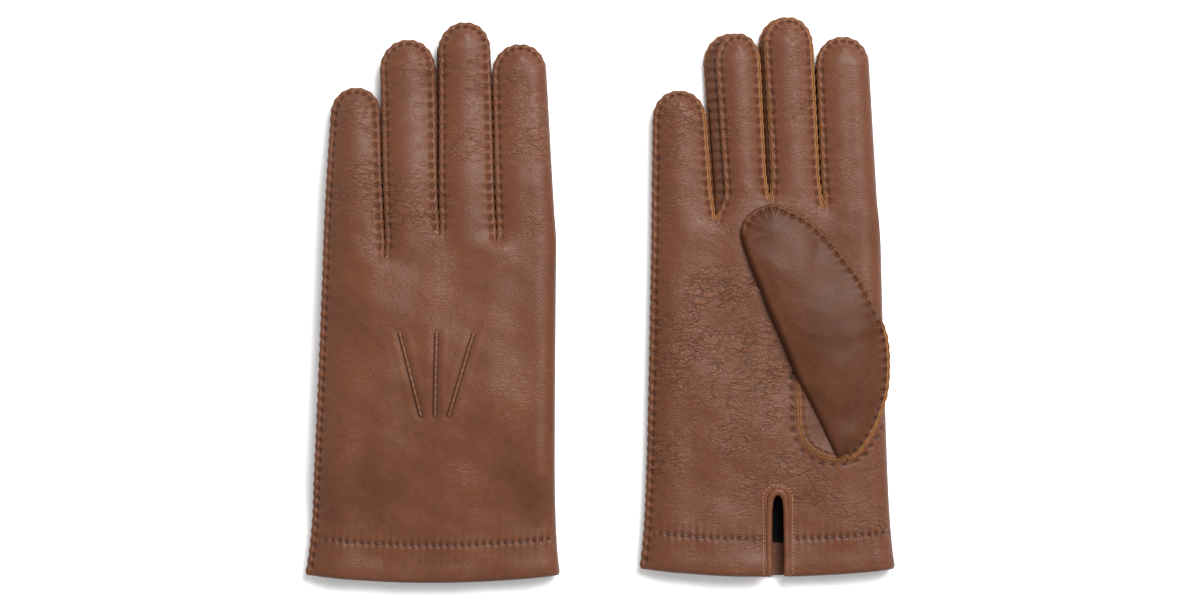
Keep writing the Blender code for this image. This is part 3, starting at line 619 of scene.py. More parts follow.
def finger_rows(side, name, layer):
    """The grid of one finger's back or palm: each row runs from edge to edge over the spine.

    Along the sides the rows are level; round the tip they close like the ribs of a fan, and the
    last row's two halves lie on each other.
    """
    left, right, tip_start, end = finger_lines(side, name, layer)
    sides = np.arange(ROOT, tip_start, STEP)
    angles = np.linspace(0, math.pi / 2, 30)
    v = np.concatenate([sides, tip_start + (end - tip_start) * np.sin(angles)])
    squeeze = np.concatenate([np.ones(len(sides)), np.cos(angles)])
    x_left, x_right = left(v), right(v)
    tip_left, tip_right = left(tip_start), right(tip_start)
    past = v >= tip_start
    centre = np.where(past, (tip_left + tip_right) / 2, (x_left + x_right) / 2)
    half = np.where(past, (tip_right - tip_left) / 2, (x_right - x_left) / 2) * squeeze ** 0.92
    edge_left = np.stack([centre - half, v], 1)
    edge_right = np.stack([centre + half, v], 1)
    spine_v = np.where(past, tip_start + 0.42 * (v - tip_start), v)
    spine = np.stack([centre, spine_v], 1)
    number = NAMES.index(name)
    slits = SLITS[layer]

    def sewn_above(slit):
        return ease(v, slit - MM, slit + 2 * MM)

    over_tip = ease(v, tip_start - 2 * MM, tip_start + 5 * MM)
    sewn_left = np.ones(len(v)) if number == 0 else sewn_above(slits[number - 1])
    sewn_right = over_tip if number == 3 else sewn_above(slits[number])
    halves = []
    near_tip = ease(v, tip_start, end - 1 * MM)
    for edge, way, seam, outer in ((edge_left, 1, sewn_left, number == 0),
                                   (edge_right, -1, sewn_right, number == 3)):
        inward = normals_of(edge, way)
        inward[-1] = (0.0, -1.0)
        pull, count = stitch_phase(edge)
        left_gape, right_gape, tip_gape = SPREAD[side][layer][name]
        gape = (left_gape if way > 0 else right_gape) * (1 - near_tip) + tip_gape * near_tip
        if not outer:
            slit = slits[number - 1] if way > 0 else slits[number]
            gape = np.maximum(gape, 0.8 * (1 - ease(v, slit + 3 * MM, slit + 8 * MM)) * (layer == "palm"))
        place, lift, dark, bright, raw = half_row(edge, inward, spine, seam, pull, 12, gape)
        if outer and number == 3:
            base = SEWN_HALF * near_tip
        elif outer:
            base = np.full(len(v), SEWN_HALF)
        else:
            base = WALL_HALF + (SEWN_HALF - WALL_HALF) * near_tip
        reach = np.linalg.norm(place - edge[:, None, :], axis=2)
        whole = np.linalg.norm(spine - edge, axis=1)[:, None]
        share = np.clip((reach - SEAM_AT) / np.maximum(whole - SEAM_AT, 1e-6), 0, 1)
        crown = 1 - (1 - share) ** 2.1
        if outer and number == 3:
            round_side = quarter_round(reach, FOLD_ROUND)
            crown = round_side * (1 - near_tip[:, None]) + crown * near_tip[:, None]
        top = THICKNESS / 2 - 0.6 * MM * near_tip[:, None]
        height = base[:, None] + (top - base[:, None]) * crown
        hand = hand_height(side, layer, place[..., 0], place[..., 1])
        mean_slit = np.mean(slits)
        own = mean_slit if outer else (slits[number - 1] if way > 0 else slits[number])
        first, last = max(ROOT, own - 5 * MM), own + 6 * MM
        middle_first, middle_last = max(ROOT, mean_slit - 12 * MM), mean_slit + 6 * MM
        join = ease(place[..., 1], first, last) * (1 - share ** 2)
        join += ease(place[..., 1], middle_first, middle_last) * share ** 2
        height = hand * (1 - join) + height * join + lift
        swerve = 2.4 * np.sin(place[..., 0] / (5 * MM) + number)
        wrinkle = 0.10 * MM * np.sin(place[..., 1] / (1.9 * MM) + swerve)
        height += wrinkle * crown * join * (0.4 + 0.6 * np.sin(place[..., 1] / (9 * MM) + number) ** 2)
        halves.append({"place": place, "height": height, "looks": (dark, bright, raw), "edge": edge,
                       "inward": inward, "seam": seam, "stitches": count})
    return halves, v


def joined_rows(halves, side, layer):
    """Left half, spine and right half as one grid, placed in the world, for one layer."""
    left, right = halves

    def joined(one, other):
        return np.concatenate([one, other[:, -2::-1]], 1)

    place = joined(left["place"], right["place"])
    dark, bright, raw = [joined(one, other) for one, other in zip(left["looks"], right["looks"])]
    x, v = place[..., 0], place[..., 1]
    creasing_and_shade = 0.7 * (0.4 + 0.6 * ease(v, ROOT - 10 * MM, ROOT + 20 * MM))
    return {"points": laid(side, layer, x, v, joined(left["height"], right["height"])), "painted_shade": dark,
            "painted_highlight_and_tone": bright, "edge": raw, "creasing_and_shade": creasing_and_shade, "flip": facing(side, layer) < 0}


# ---------------------------------------------------------------- fingers
# Each finger is the front and back of the trank, sewn to a fourchette on each inner side and to each
# other round the tip; the index finger's outer side is a plain fold.
BEND_FROM, BEND_TO = 153 * MM, 15 * MM


def bend_with(piece, side):
    """Bakes the piece's placing into its mesh; it is not tied to the hand or to its finger."""
    CORNER[side][1] + BEND_FROM
    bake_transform(piece)


def seam_stitches(side, layer, half):
    """Where the thread shows in a finger's seam: the groove's points at each whole stitch."""
    along, count, seam = run_along(half["edge"]), half["stitches"], half["seam"]
    at = np.searchsorted(along, along[-1] * np.arange(1, count) / count)
    at = at[at < len(seam) - 2]
    at = at[seam[at] > SEWN]
    spot = half["place"][at, GROOVE]
    height = half["height"][at, GROOVE] + 0.20 * MM
    return laid(side, layer, spot[:, 0], spot[:, 1], height), level(half["inward"][at])


def wall_grid(side, back_half, palm_half, v, start, bulge, flip):
    """The strip between the seam of the back and the seam of the palm, bulging outwards between them."""
    count = len(v)
    keep = v >= start
    ends = []
    for layer, half in (("back", back_half), ("palm", palm_half)):
        spot = half["place"][:count][keep, 0]
        z = (middle_level(side, spot[:, 0], spot[:, 1], layer)
             + facing(side, layer) * half["height"][:count][keep, 0])
        ends.append((spot, z))
    inward = back_half["inward"][:count][keep]
    share = np.linspace(0, 1, 8)
    swell = bulge[keep][:, None] * np.sin(math.pi * share)[None, :] ** 0.7
    spot = (ends[0][0][:, None] * (1 - share)[None, :, None] + ends[1][0][:, None] * share[None, :, None]
            - inward[:, None] * swell[..., None])
    z = ends[0][1][:, None] * (1 - share) + ends[1][1][:, None] * share
    # painted shade along the strip's middle, down between the fingers
    return {"points": placed(side, spot[..., 0], spot[..., 1], z), "flip": flip,
            "painted_shade": 0.15 * np.sin(math.pi * share)[None, :]}


def between(side, number, layer, v):
    """How far a finger and the next one are apart at v, up to the end of the shorter one."""
    _, near, near_end, _ = finger_lines(side, NAMES[number], layer)
    far, _, far_end, _ = finger_lines(side, NAMES[number + 1], layer)
    v = np.minimum(v, min(near_end, far_end))
    return far(v) - near(v)


for side in TURN:
    for number, name in enumerate(NAMES):
        rows = {layer: finger_rows(side, name, layer) for layer in LAYERS}
        grids = [joined_rows(rows[layer][0], side, layer) for layer in LAYERS]
        stations = rows["back"][1][:len(rows["palm"][1])]
        walls = []
        for half_number, neighbour in ((0, number - 1), (1, number + 1)):
            halves = [rows[layer][0][half_number] for layer in LAYERS]
            flip = (half_number == 0) == (TURN[side] > 0)
            if 0 <= neighbour < len(NAMES):
                first = min(number, neighbour)
                start = max(ROOT, SLITS["back"][first] - 4 * MM)
                gap = sum(between(side, first, layer, stations) for layer in LAYERS) / 2
                bulge = np.clip(SEAM_OUT[0] + gap / 2 - 0.08 * MM, 0, 3.6 * MM)
                tip_start = finger_lines(side, name, "palm")[2]
                bulge += (0.9 * MM - bulge) * ease(stations, tip_start, tip_start + 6 * MM)
                walls.append((NAMES[neighbour], wall_grid(side, *halves, stations, start, bulge, flip)))
            else:
                bulge = np.full(len(stations), -1.2 * MM)
                grids.append(wall_grid(side, *halves, stations, ROOT, bulge, flip))
        trank = grid_object(f"{side}_{name}_front_and_back", LEATHER, grids)
        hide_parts(f"{side}_trank_{name}")
        bend_with(trank, side)
        for neighbour, grid in walls:
            wall = grid_object(f"{side}_{name}_fourchette_to_{neighbour}", SIDE_LEATHER, [grid])
            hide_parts(f"{side}_fourchette_{name}_by_{neighbour}")
            bend_with(wall, side)
        centres, ways = [], []
        for layer in LAYERS:
            for half in rows[layer][0]:
                spots, along = seam_stitches(side, layer, half)
                centres.append(spots)
                ways.append(along)
        sewing = beads(f"{side}_{name}_stitches", np.concatenate(centres), np.concatenate(ways),
                       1.0 * MM, 0.30 * MM, THREAD)
        bend_with(sewing, side)


# ---------------------------------------------------------------- hand of the trank
# One skin that runs from the outseam across the back, round the index edge and across the palm.
# It is turned in and sewn at the hem, cut up for the vent, and opened for the thumb.
HEM_STITCH = 3.2 * MM
HEM_WIDE = 1.1 * MM
CUFF_BOW = 3.4 * MM
VENT_X, VENT_TOP, VENT_HALF = 4.5 * MM, 38.5 * MM, 2.5 * MM
VENT_CLEAR = 8 * MM                   # the hem's stitches stop this far from the slot's middle line
HOLE = (33.5 * MM, 84 * MM, 13 * MM, 21 * MM)         # middle and half sizes of the thumb's oval hole


def bowed(x, v):
    """v after the cuff's bow: the middle hangs lower than the corners, and it fades towards the wrist."""
    return v + CUFF_BOW * (x / CUFF_HALF) ** 2 * (1 - ease(v, 10 * MM, 70 * MM))


def hem_shape(x, v):
    """Height, darkness and brightness that the hem adds: a double fold, a groove and puckered stitches.
    The darkness is painted shade in the groove and on the cuff's rolled lip, the brightness a painted
    highlight on the puckers.
    """
    beat = np.cos(math.tau * x / HEM_STITCH)
    near = bell(v - HEM_LINE, HEM_WIDE)
    around = np.exp(-np.abs(v - HEM_LINE) / (3.2 * MM))
    fold = 0.45 * MM * (1 - ease(v, HEM_LINE - 1 * MM, HEM_LINE + 1.5 * MM))
    lip = 1 - np.clip(v / (2.2 * MM), 0, 1)
    roll = 0.5 * MM * bell(v - 5 * MM, 4 * MM)
    height = (fold + roll - near * MM * (0.45 + 0.35 * beat) - 0.30 * MM * beat * around
              - 1.9 * MM * (1 - np.sqrt(np.clip(1 - lip ** 2, 0, 1))))
    # painted shade in the hem's groove and under the rolled lip; painted highlight on the puckers
    dark = near * (0.22 + 0.3 * beat) + 0.35 * lip ** 2
    return height, dark, around * (0.15 - 0.35 * beat) * (1 - near)


POINT_FEET, POINT_HEADS = 74 * MM, 112 * MM
POINT_LINES = [(-6.0 * MM, -16.5 * MM), (0.0, 0.0), (6.0 * MM, 16.5 * MM)]


def outside_hole(x, v, smaller):
    """Whether a place lies outside the thumb's oval hole, made smaller all round."""
    return ((x - HOLE[0]) / (HOLE[2] - smaller)) ** 2 + ((v - HOLE[1]) / (HOLE[3] - smaller)) ** 2 > 1


def point_distance(x, v):
    """Sideways distance from the nearest of the three points' lines, and 1 along them, 0 past their ends."""
    share = (v - POINT_FEET) / (POINT_HEADS - POINT_FEET)
    gap = np.min([np.abs(x - (foot + (head - foot) * share)) for foot, head in POINT_LINES], axis=0)
    fade = 1.5 * MM
    return gap, ease(v, POINT_FEET - fade, POINT_FEET) * (1 - ease(v, POINT_HEADS, POINT_HEADS + fade))


def tucks_relief(x, v):
    """Height, darkness and brightness round the three points: a narrow valley between two soft swells.
    There is no darkness; the brightness is a painted highlight on the swells.
    """
    gap, along = point_distance(x, v)
    swell = bell(gap - 3.4 * MM, 1.2 * MM) * along
    return MM * (0.18 * swell - 0.30 * bell(gap, 2.0 * MM) * along), 0.0, 0.25 * swell


def base_relief(x, v):
    """Height, darkness and brightness round the thumb's base: painted shade in the dimples of its seam
    and under its fold, and a painted highlight between the dimples.
    """
    reach, run = beside(x, v, BASE_LINE)
    beat = np.cos(math.tau * run / STITCH)
    prick = bell(reach - BASE_AT, 0.75 * MM)
    height = MM * (0.45 * bell(reach, 1.5 * MM) - 0.60 * prick * (0.40 + 0.60 * beat))
    from_fold = fold_x(v) - x
    hidden = ease(v, 86 * MM, 94 * MM) * (1 - ease(v, 150 * MM, 156 * MM))
    hidden = hidden * ease(from_fold, -2.5 * MM, -1.2 * MM) * np.exp(-np.maximum(from_fold, 0) / (0.8 * MM))
    dark = 0.9 * prick * np.clip(0.20 + 0.80 * beat, 0, 1) + 0.55 * hidden
    return height, dark, 0.5 * prick * np.clip(-beat, 0, 1)


LIP_ROWS = 2.4 * MM * np.linspace(0, 1, 12)[:-1] ** 1.7           # closer together at the cuff's lip
HAND_ROWS = np.concatenate([LIP_ROWS, np.arange(2.4 * MM, ROOT, 0.55 * MM), [ROOT]])
HAND_COLUMNS = 150
# Painted shade in the creases follows the same measure.
CREASING_AND_SHADE = {"back": 0.28, "palm": 0.85}                               # the palm is creased the most


def hand_grid(side, layer):
    """One layer of the hand from the outseam to the index fold, with rows from the cuff to the fingers."""
    v = HAND_ROWS
    half = hand_edge(side, v)
    edge = np.stack([-half, v], 1)
    spine = np.stack([half, v], 1)
    inward = np.tile([1.0, 0.0], (len(v), 1))
    pull = np.cos(math.tau * v / STITCH)
    seam = 0.25 + 0.75 * ease(v, 0, 3 * MM)
    place, lift, dark, bright, raw = half_row(edge, inward, spine, seam, pull, HAND_COLUMNS)
    first = place[:, len(SEAM_OUT) - 1, 0]
    turn = np.linspace(0, 1, HAND_COLUMNS + 1)[1:]
    turn = np.where(turn < 0.8, turn / 0.8 * 0.9, 0.9 + 0.1 * np.sin((turn - 0.8) / 0.2 * math.pi / 2))
    place[:, len(SEAM_OUT):, 0] = first[:, None] + (half - first)[:, None] * turn
    x, v_here = place[..., 0], place[..., 1]
    height = hand_height(side, layer, x, v_here) + lift
    body = ease(x + half[:, None], 3.4 * MM, 5 * MM)
    hem, hem_dark, hem_bright = hem_shape(x, v_here)
    rounded = np.clip(height / (THICKNESS / 2), 0, 1)
    height = height + hem * rounded
    # painted shade and painted highlight of the hem, then of the three points or the thumb's base
    dark = dark + hem_dark * body
    bright = bright + hem_bright * body
    relief = tucks_relief if layer == "back" else base_relief
    rise, shade, shine = relief(x, v_here)
    height += rise
    dark = dark + shade
    bright = bright + shine
    quad_x, quad_v = x[:-1, :-1], v_here[:-1, :-1]
    mask = np.ones(quad_x.shape, bool)
    if layer == "palm":
        mask &= ~((np.abs(quad_x - VENT_X) < VENT_HALF + 1.2 * MM) & (quad_v < VENT_TOP - 0.4 * MM))
        mask &= outside_hole(quad_x, quad_v, 0)
    return {"points": laid(side, layer, x, v_here, height, bowed(x, v_here)), "painted_shade": dark, "painted_highlight_and_tone": bright,
            "edge": raw, "mask": mask, "creasing_and_shade": CREASING_AND_SHADE[layer], "flip": facing(side, layer) < 0}


for side in TURN:
    grids = [hand_grid(side, layer) for layer in LAYERS]
    share = np.linspace(0, 1, 4)[None, :, None]
    back_edge, palm_edge = [grid["points"][:, :1] for grid in grids]
    strip = back_edge * (1 - share) + palm_edge * share
    # painted shade on the strip that closes the crevice between the two layers at the outseam
    grids.append({"points": strip, "painted_shade": 0.8, "flip": TURN[side] > 0})
    hand = grid_object(f"{side}_hand_back_and_palm", LEATHER, grids)
    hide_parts(f"{side}_trank_hand")
    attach(hand, f"{side}_hand")
    centres = []
    at = np.searchsorted(HAND_ROWS, np.arange(1, 31) * STITCH)
    for grid, layer in zip(grids, LAYERS):
        spots = grid["points"][at, GROOVE].copy()
        spots[:, 2] += facing(side, layer) * 0.2 * MM
        centres.append(spots)
    centres = np.concatenate(centres)
    sewing = beads(f"{side}_outseam_stitches", centres, np.tile([1.0, 0.0, 0.0], (len(centres), 1)),
                   1.3 * MM, 0.26 * MM, THREAD)
    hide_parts(f"{side}_outseam_thread")
    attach(sewing, f"{side}_hand")


# ---------------------------------------------------------------- turned cuff
# Below the hem's stitches the leather is folded inwards: a second skin inside the cuff.
TURNUP_HIGH = 17.6 * MM


def inner_grid(side, layer, levels, across, sink, start):
    """A skin inside the hand, sunk below its leather; start is how far in it begins at its two edges."""
    share = (1 - np.cos(np.linspace(0, math.pi, across))) / 2
    v = np.repeat(levels[:, None], across, 1)
    x = (hand_edge(side, v) - start) * (2 * share[None, :] - 1)
    height = np.maximum(hand_height(side, layer, x, v) - sink, 0.15 * MM * (share * (1 - share) > 0))
    return {"points": laid(side, layer, x, v, height, bowed(x, v)), "flip": facing(side, layer) < 0}


def off_vent(across, levels, gap, top):
    """Which quads of a skin inside the hand keep clear of the slot: gap beside it, or above top."""
    x = -CUFF_HALF * np.cos(np.linspace(0, math.pi, across)[:-1])
    return (np.abs(x - VENT_X) > VENT_HALF + gap)[None, :] | (levels[:-1, None] >= top)


for side in TURN:
    levels = np.linspace(0.1 * MM, TURNUP_HIGH, 30)
    drop = 1.9 * MM - 0.2 * MM * ease(levels, 0, 3 * MM)
    skins = [inner_grid(side, layer, levels, 120, drop[:, None], 1.2 * MM) for layer in LAYERS]
    skins[1]["mask"] = off_vent(120, levels, 1.6 * MM, VENT_TOP)
    for skin in skins:
        skin["edge"] = 1.0 * (levels > TURNUP_HIGH - 0.7 * MM)[:, None]
    turnup = grid_object(f"{side}_cuff_turnup", LEATHER, skins)
    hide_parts(f"{side}_hem_turnup")
    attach(turnup, f"{side}_hand")


# ---------------------------------------------------------------- hem stitches
# One thread goes round the cuff in a running stitch: it shows in every second gap between its holes.
# A dark bead in each needle hole is painted shade.
HOLE_SHADE = plain_material("needle_hole_shade", 0.9, rgb(22, 12, 9))
TAN_THREAD = plain_material("tan_machine_thread", 0.5, rgb(150, 106, 74))


def surface_spots(side, layer, x, v, rise):
    """World points on one of the hand's layers with its hem, raised by rise."""
    height = hand_height(side, layer, x, v) + hem_shape(x, v)[0] + rise
    return laid(side, layer, x, v, height, bowed(x, v))


for side in TURN:
    spots, holes = [], []
    for layer in LAYERS:
        pricked_at = np.arange(-16, 17) * HEM_STITCH
        shown_at = pricked_at[::2] + HEM_STITCH / 2
        for x, rise, found in ((pricked_at, 0.08 * MM, holes), (shown_at, -0.02 * MM, spots)):
            if layer == "palm":
                x = x[np.abs(x - VENT_X) > VENT_CLEAR]
            found.append(surface_spots(side, layer, x, np.full(len(x), HEM_LINE), rise))
    spots, holes = np.concatenate(spots), np.concatenate(holes)
    running = beads(f"{side}_hem_stitches", spots, np.tile([1.0, 0.0, 0.0], (len(spots), 1)), 2.5 * MM,
                    0.30 * MM, THREAD)
    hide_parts(f"{side}_hem_thread")
    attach(running, f"{side}_hand")
    # dark beads that paint the shade inside each needle hole
    pricked = beads(f"{side}_hem_hole_shade", holes, np.tile([0.0, 1.0, 0.0], (len(holes), 1)), 1.0 * MM,
                    0.40 * MM, HOLE_SHADE)
    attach(pricked, f"{side}_hand")


# ---------------------------------------------------------------- vent
# The slot in the palm side of the cuff is bound with a rolled strip, sewn down by a fine machine
# stitch that runs round it on a flat margin.
def arch(half, top, low, step):
    """Points up one side, round over the top and down the other, v from low."""
    rise = np.arange(low, top - half, step)
    turn = np.linspace(math.pi, 0, 25)
    x = np.concatenate([np.full(len(rise), -half), half * np.cos(turn), np.full(len(rise), half)])
    v = np.concatenate([rise, top - half + half * np.sin(turn), rise[::-1]])
    return np.stack([VENT_X + x, v], 1)


def welt_grid(side, path, radius, flat, sink):
    """A tube along a path on the palm, flattened by flat and sunk into the leather, with painted shade
    on its lower side and a painted highlight on its top.
    """
    along = unit(np.gradient(path, axis=0))
    across = np.stack([along[:, 1], -along[:, 0]], -1)
    turns = np.linspace(0, math.tau, 17)
    wide = radius[:, None] * np.cos(turns)
    x = path[:, 0:1] + across[:, 0:1] * wide
    v = path[:, 1:2] + across[:, 1:2] * wide
    base_x, base_v = np.broadcast_to(path[:, 0:1], wide.shape), np.broadcast_to(path[:, 1:2], wide.shape)
    surface = hand_height(side, "palm", base_x, base_v) - sink
    z = middle_level(side, base_x, base_v) + TURN[side] * (surface + flat * radius[:, None] * np.sin(turns))
    return {"points": placed(side, x, bowed(x, v), z), "flip": TURN[side] > 0,
            "painted_shade": np.clip(-np.sin(turns) * 0.8, 0, 1)[None, :],
            "painted_highlight_and_tone": 0.5 * np.clip(np.sin(turns), 0, 1)[None, :]}


for side in TURN:
    path = arch(VENT_HALF + 1.45 * MM, VENT_TOP - 0.4 * MM, 0.3 * MM, 0.5 * MM)
    path[:, 0] += (path[:, 0] - VENT_X) * -0.20 * ease(path[:, 1], 26 * MM, 38 * MM)
    radius = 1.45 * MM + 0.10 * MM * np.sin(path[:, 1] / (2.3 * MM)) * np.sin(path[:, 1] / (5.1 * MM))
    radius += 0.45 * MM * ease(path[:, 1], 33 * MM, 38 * MM)
    radius[0] = radius[-1] = 0.9 * MM                 # narrower where its ends are tucked in
    margin = arch(VENT_HALF + 3.0 * MM, VENT_TOP + 1.5 * MM, 0.3 * MM, 0.5 * MM)
    welt = np.full(len(margin), 0.85 * MM) + 0.1 * MM * np.cos(run_along(margin) / (1.6 * MM) * math.tau)
    binding = grid_object(f"{side}_vent_binding_roll", LEATHER, [
        welt_grid(side, path, radius, 0.95, 0.15 * MM),
        welt_grid(side, margin, welt, 0.55, 0.05 * MM)])
    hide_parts(f"{side}_vent_binding")
    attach(binding, f"{side}_hand")
    line = arch(VENT_HALF + 4.05 * MM, VENT_TOP + 2.7 * MM, 0.8 * MM, 0.05 * MM)
    along = run_along(line)
    at = np.searchsorted(along, np.arange(0.8 * MM, along[-1], 1.6 * MM))
    heading = np.gradient(line, axis=0)[at]
    spots = surface_spots(side, "palm", line[at, 0], line[at, 1], 0.10 * MM)
    machine = beads(f"{side}_vent_stitches", spots, level(heading), 1.25 * MM, 0.2 * MM, TAN_THREAD)
    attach(machine, f"{side}_hand")


# ---------------------------------------------------------------- three points
# Three straight tucks fan out over the back of each glove, pinched up and sewn through their sides.
for side in TURN:
    for name, (foot, head) in zip(("pinky", "middle", "index"), POINT_LINES):
        share = np.linspace(-0.02, 1.02, 150)
        q = np.linspace(-1.45, 1.45, 17) * MM
        v = POINT_FEET + (POINT_HEADS - POINT_FEET) * share
        x = (foot + (head - foot) * share)[:, None] + q[None, :]
        v = np.repeat(v[:, None], len(q), 1)
        ends = (ease(share, -0.02, 0.03) * (1 - ease(share, 0.97, 1.02)))[:, None]
        ridge = 0.75 * MM * np.sqrt(np.clip(1 - (q / (0.85 * MM)) ** 2, 0, 1)) - 0.10 * MM
        pulled = 1 + 0.16 * np.sin(share * 75)[:, None]
        height = hand_height(side, "back", x, v) + (ridge[None, :] * pulled - 0.10 * MM) * ends
        height -= 0.5 * MM * (1 - ends)
        # painted shade beside the crest of each tuck and a painted highlight along it
        dark = (np.clip((np.abs(q) - 0.62 * MM) / (0.2 * MM), 0, 1) * (np.abs(q) < 1.2 * MM))[None, :] * ends
        lit = bell(q, 0.5 * MM)[None, :] * ends
        tuck = grid_object(f"{side}_raised_point_{name}", LEATHER, [{
            "points": laid(side, "back", x, v, height), "painted_shade": dark, "painted_highlight_and_tone": 1.3 * lit,
            "flip": TURN[side] > 0}])
        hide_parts(f"{side}_point_{name}")
        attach(tuck, f"{side}_hand")
        at = np.linspace(0.05, 0.95, 12)
        spot_x = foot + (head - foot) * at + 1.15 * MM
        spot_v = POINT_FEET + (POINT_HEADS - POINT_FEET) * at
        height = hand_height(side, "back", spot_x, spot_v) + 0.05 * MM
        sewn = beads(f"{side}_point_{name}_stitches", laid(side, "back", spot_x, spot_v, height),
                     np.tile([0.9, 0.4, 0.0], (12, 1)), 0.8 * MM, 0.22 * MM, THREAD)
        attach(sewn, f"{side}_hand")


# ---------------------------------------------------------------- thumb
# The thumb is folded flat across the palm: a plain fold on its inner side, a prick seam over its tip
# and down its outer side, and the set-in seam round its base, whose two cut edges stand up together.
THUMB_HIGH = 7.2 * MM
GROUND_TOP = 7.2 * MM                 # the palm's leather gives way under the thumb above this height
THUMB_SPINE = np.array([(35.5, 66.0), (2.6, 152.0)]) * MM     # foot and head of its middle line


def smooth_closed(knots, step):
    """A closed Catmull-Rom curve through the knots, resampled to even steps and closed on itself."""
    before, after, later = np.roll(knots, 1, 0), np.roll(knots, -1, 0), np.roll(knots, -2, 0)
    t = np.linspace(0, 1, 30, endpoint=False)[None, :, None]
    knots, before, after, later = [a[:, None] for a in (knots, before, after, later)]
    fine = 0.5 * (2 * knots + (after - before) * t + (2 * before - 5 * knots + 4 * after - later) * t ** 2
                  + (3 * knots - before - 3 * after + later) * t ** 3)
    fine = fine.reshape(-1, 2)
    fine = np.concatenate([fine, fine[:1]])
    along = run_along(fine)
    even = np.linspace(0, along[-1], int(along[-1] / step))
    return np.stack([np.interp(even, along, fine[:, k]) for k in (0, 1)], 1)


def nearest_on(points, start, end):
    """The nearest point to each on the segment from start to end."""
    way = end - start
    share = np.clip(((points - start) @ way) / (way @ way), 0, 1)
    return start + share[:, None] * way, share


for side in TURN:
    loop = smooth_closed(THUMB_LOOP, 0.5 * MM)
    if TURN[side] < 0:
        loop[:, 0] -= 0.45 * np.maximum(loop[:, 0] - 42 * MM, 0)
    along = np.gradient(loop, axis=0)
    along[0] = along[-1] = loop[1] - loop[-2]
    along = unit(along)
    inward = np.stack([along[:, 1], -along[:, 0]], -1)
    spine, along_spine = nearest_on(loop, *THUMB_SPINE)
    x, v = loop[:, 0], loop[:, 1]
    run = run_along(loop)
    on_fold = (np.abs(x - fold_x(v)) < 1.2 * MM) & (v < 153 * MM) & (run < 116 * MM)
    seam = np.where(on_fold, 0.0, 1.0)
    seam = np.convolve(np.concatenate([seam[-9:], seam, seam[:9]]), smoothing(19), "valid")
    set_in = ease(-v, -114 * MM, -108 * MM) * seam
    pull, count = stitch_phase(loop)
    place, lift, dark, bright, raw = half_row(loop, inward, spine, seam, pull, 22, 0.15 + 0.85 * set_in)
    px, pv = place[..., 0], place[..., 1]
    reach = np.linalg.norm(place - loop[:, None, :], axis=2)
    whole = np.linalg.norm(spine - loop, axis=1)[:, None]
    share = np.clip(reach / np.maximum(whole, 1e-6), 0, 1)
    top = THUMB_HIGH - 1.9 * MM * (1 - ease(along_spine, 0, 0.35)) - 0.8 * MM * ease(along_spine, 0.8, 1)
    top = top[:, None]
    fold_round = quarter_round(reach, 2.6 * MM)
    folded = (0.74 * fold_round + 0.26 * (1 - (1 - share) ** 2)) * top
    sewn_base = 3.1 * MM - 1.2 * MM * set_in[:, None]
    past_seam = np.clip((reach - SEAM_AT) / (whole - SEAM_AT), 0, 1)
    sewn = sewn_base + (top - sewn_base) * (1 - (1 - past_seam) ** 2.2)
    height = folded * (1 - seam[:, None]) + sewn * seam[:, None] + lift
    height += 0.35 * MM * (1 - seam[:, None]) * (reach < 0.2 * MM)
    lowest = hand_height(side, "palm", spine[:, 0], spine[:, 1])[:, None] - 1.2 * MM
    ground = np.maximum(np.minimum(hand_height(side, "palm", px, pv), GROUND_TOP), lowest)
    waves = 0.22 * MM * np.sin(px / (7 * MM)) * np.sin(pv / (11 * MM)) * share
    # The seam's painted shade and painted highlight; the lowered brightness also gives the thumb a darker
    # tone.
    upper = {"points": laid(side, "palm", px, pv, ground + height + waves), "painted_shade": dark,
             "painted_highlight_and_tone": bright - 0.35, "edge": raw, "creasing_and_shade": 0.08, "flip": TURN[side] > 0}
    rows = np.linspace(0, 1, 24)[None, :, None]
    under = loop[:, None, :] * (1 - rows) + spine[:, None, :] * rows
    ux, uv = under[..., 0], under[..., 1]
    flat = np.maximum(hand_height(side, "palm", ux, uv), lowest) + 0.25 * MM
    under_height = np.where(rows[..., 0] == 0, height[:, 0:1] + ground[:, 0:1], flat)
    clear_of_hole = outside_hole(ux, uv, 1 * MM)
    lower = {"points": laid(side, "palm", ux, uv, under_height), "flip": TURN[side] < 0,
             "mask": clear_of_hole[:-1, :-1]}
    thumb = grid_object(f"{side}_thumb_leather", THUMB_LEATHER, [upper, lower])
    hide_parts(f"{side}_thumb")
    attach(thumb, f"{side}_thumb")
    at = np.searchsorted(run, run[-1] * np.arange(1, count) / count)
    at = at[seam[at] > SEWN]
    spots = upper["points"][at, GROOVE].copy()
    spots[:, 2] += TURN[side] * 0.2 * MM
    sewing = beads(f"{side}_thumb_stitches", spots, level(inward[at]), 1.3 * MM, 0.27 * MM, THREAD)
    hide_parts(f"{side}_thumb_seam_thread")
    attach(sewing, f"{side}_thumb")


